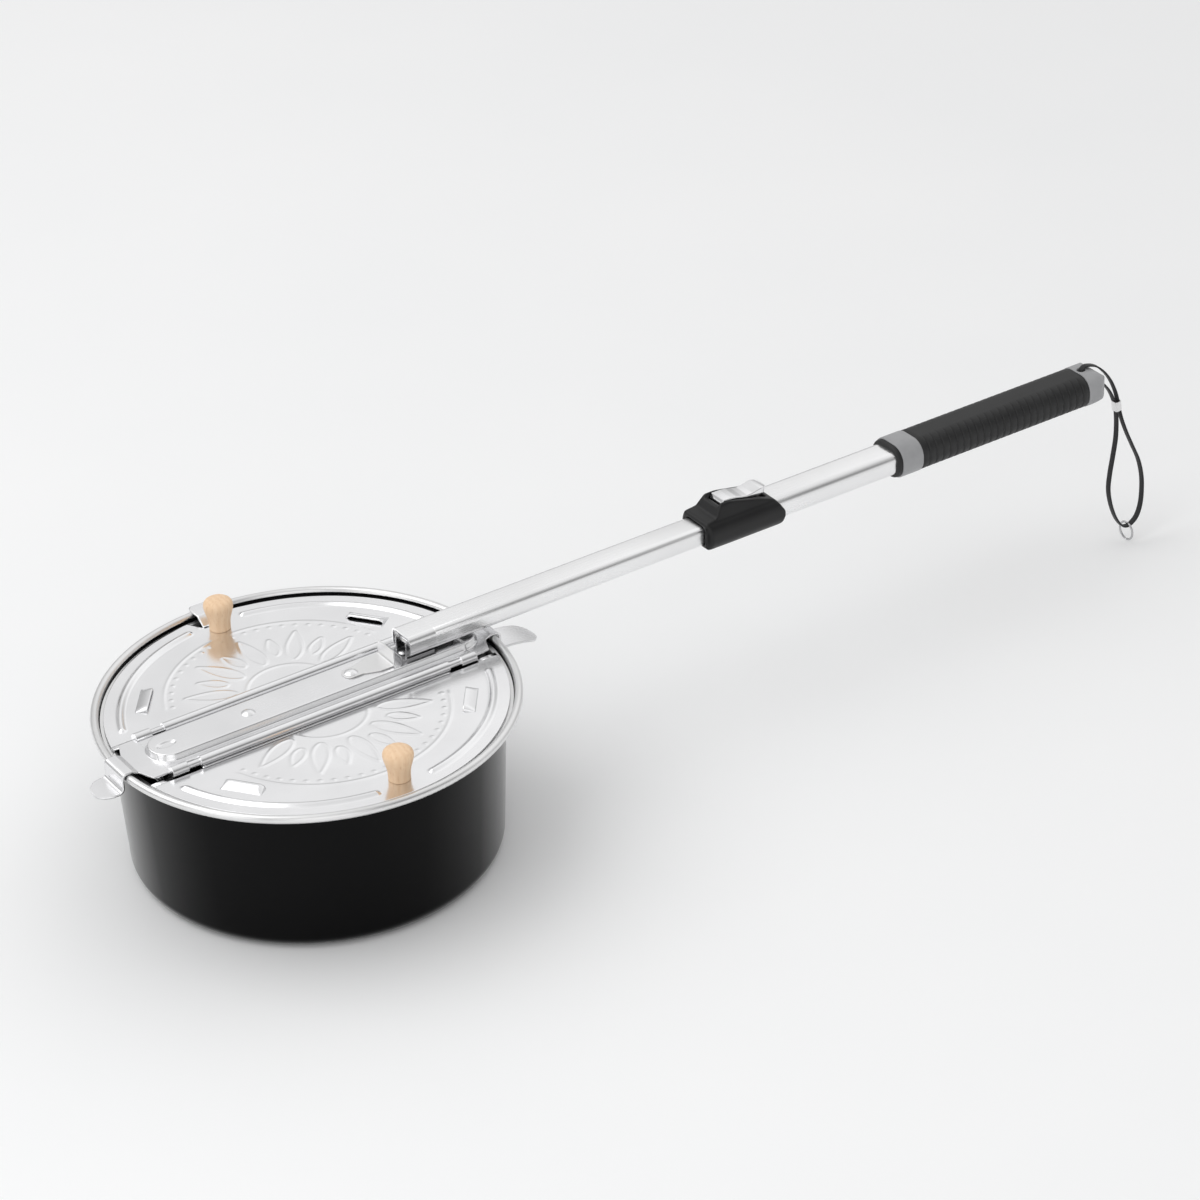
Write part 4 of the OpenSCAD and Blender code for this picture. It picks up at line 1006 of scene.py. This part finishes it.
# Thumb lever: lofted along the handle, at places counted from the collar's start
def make_lever():
    """Cast lever: leaning square front, hollow middle and a rounded tail that flares up."""
    foot, end, wide = 14.4, 52, 12.4
    tail_from, tail_over = 45.9, 6.15
    tops = [(foot, 9.3), (17.25, 9.5), (17.75, 15.0), (18.9, 17.45), (19.4, 17.66), (24.5, 17.5),
            (28.5, 17.0), (32.5, 15.9), (36.5, 15.2), (40, 15.4), (43, 16.1), (46, 16.7), (48.5, 16.5),
            (50.8, 15.7), (end, 14.9)]
    lows = [(foot, 8.8), (21, 8.8), (23, 11.0), (38.5, 11.1), (44.5, 12.0), (end, 13.5)]
    stations = [foot, 14.7, 16, 17.0, 17.2, 17.4, 17.6, 18.0, 18.5, 18.9, 19.1, 19.4, 20, 21, 22, 23]
    stations += list(np.linspace(24.2, end, 50))
    rings = []
    for at in stations:
        top = float(np.interp(at, *zip(*tops)))
        low = float(np.interp(at, *zip(*lows)))
        w = wide
        if at > tail_from:
            w = max(1.6, wide * math.sqrt(max(0.0, 1 - ((at - tail_from) / tail_over) ** 2)))
        height = top - low
        edge = min(0.7, height / 2 - 0.05, w / 2 - 0.05)
        middle = HANDLE_Z + (top + low) / 2
        rings.append([(COLLAR_X + at, y, middle + z) for y, z in rounded_rect(w, height, edge, 6)])
    verts, faces = loft(rings)
    make("thumb_lever_cast", verts, faces, [CHROME], "thumb_lever",
         replaces=["lock_lever"], sharp=40)


make_lever()


# The small solids keep their shape and get their own finish
for name, mat in (
    ("hinge_pins", STEEL), ("bar_rivets", STEEL), ("bracket_rivets", STEEL), ("pivot_pin", STEEL),
    ("near_knob_screw", STEEL), ("near_knob_washer", STEEL),
    ("far_knob_screw", STEEL), ("far_knob_washer", STEEL),
    ("collar_screws", STEEL), ("lever_pin", PLASTIC), ("lever_spring", STEEL),
    ("handle_rest", RUBBER), ("brake_pad", RUBBER), ("guide_bush", PLASTIC),
):
    mesh = NODES[name].data
    mesh.materials.clear()
    mesh.materials.append(mat)


# Floor, background and lamps, in metres
def make_floor():
    mat, tree, bsdf = new_material("floor_pale")
    cloud = noise(tree, mapped(tree), 3.0, 3.0)
    shade(tree, bsdf, "Base Color", cloud, [(0.3, (0.95, 0.955, 0.96)), (0.7, (0.97, 0.972, 0.975))])
    bsdf.inputs["Roughness"].default_value = 0.85
    size, below = 14.0, -0.0006
    corners = [(x * size, y * size, below) for x, y in ((-1, -1), (1, -1), (1, 1), (-1, 1))]
    mesh = bpy.data.meshes.new("floor")
    mesh.from_pydata(corners, [], [(0, 1, 2, 3)])
    mesh.materials.append(mat)
    floor = add_object("floor", mesh)


def make_world():
    """Behind the part a bright wall above a dim horizon, and in front a dim room above a pale floor's edge."""
    world = bpy.data.worlds.new("studio")
    bpy.context.scene.world = world
    world.use_nodes = True
    tree = world.node_tree
    background = tree.nodes["Background"]
    coords = node(tree, "ShaderNodeTexCoord")
    split = node(tree, "ShaderNodeSeparateXYZ")
    tree.links.new(coords.outputs["Generated"], split.inputs["Vector"])

    def towards(direction, low, high, out_low, out_high):
        """A smooth step over how far the view points in a direction."""
        dot = node(tree, "ShaderNodeVectorMath", operation="DOT_PRODUCT")
        dot.inputs[1].default_value = direction
        tree.links.new(coords.outputs["Generated"], dot.inputs[0])
        n = node(tree, "ShaderNodeMapRange", interpolation_type="SMOOTHSTEP")
        for key, v in (("From Min", low), ("From Max", high), ("To Min", out_low), ("To Max", out_high)):
            n.inputs[key].default_value = v
        tree.links.new(dot.outputs["Value"], n.inputs["Value"])
        return n.outputs["Result"]

    behind = ramp(tree, split.outputs["Z"], [(0.0, 0.60), (0.05, 0.50), (0.12, 0.42), (0.26, 0.60),
                                             (0.5, 0.88), (0.66, 0.96), (0.95, 0.8)])
    front = ramp(tree, split.outputs["Z"], [(0.0, 0.8), (0.2, 0.78), (0.38, 0.28), (0.62, 0.24),
                                            (0.78, 0.5), (0.95, 0.8)])
    wall = node(tree, "ShaderNodeVectorMath", operation="SCALE")
    tree.links.new(behind, wall.inputs[0])
    tree.links.new(towards((0.835, -0.55, 0.0), -0.15, 0.05, 0.93, 1.10), wall.inputs["Scale"])
    room = node(tree, "ShaderNodeMix", data_type="RGBA")
    tree.links.new(towards((0.55, 0.835, 0.0), -0.3, 0.45, 0.0, 1.0), room.inputs["Factor"])
    tree.links.new(front, room.inputs["A"])
    tree.links.new(wall.outputs["Vector"], room.inputs["B"])
    tree.links.new(room.outputs["Result"], background.inputs["Color"])


def make_lamp(name, place, target, size_x, size_y, power):
    data = bpy.data.lights.new(name, "AREA")
    data.shape = "RECTANGLE"
    data.size = size_x
    data.size_y = size_y
    data.energy = power
    lamp = add_object(name, data)
    lamp.location = place
    lamp.rotation_euler = (Vector(target) - Vector(place)).to_track_quat("-Z", "Y").to_euler()


make_floor()
make_world()
make_lamp("key", (-1.3, 1.0, 2.4), (0.15, 0, 0.08), 2.8, 2.8, 27)
make_lamp("left", (-2.2, -0.6, 1.3), (0, 0, 0.06), 1.3, 1.6, 7)
make_lamp("fill", (-1.0, -2.2, 1.5), (0.1, 0, 0.08), 1.9, 1.9, 10)

scene = bpy.context.scene
scene.view_settings.view_transform = "Standard"
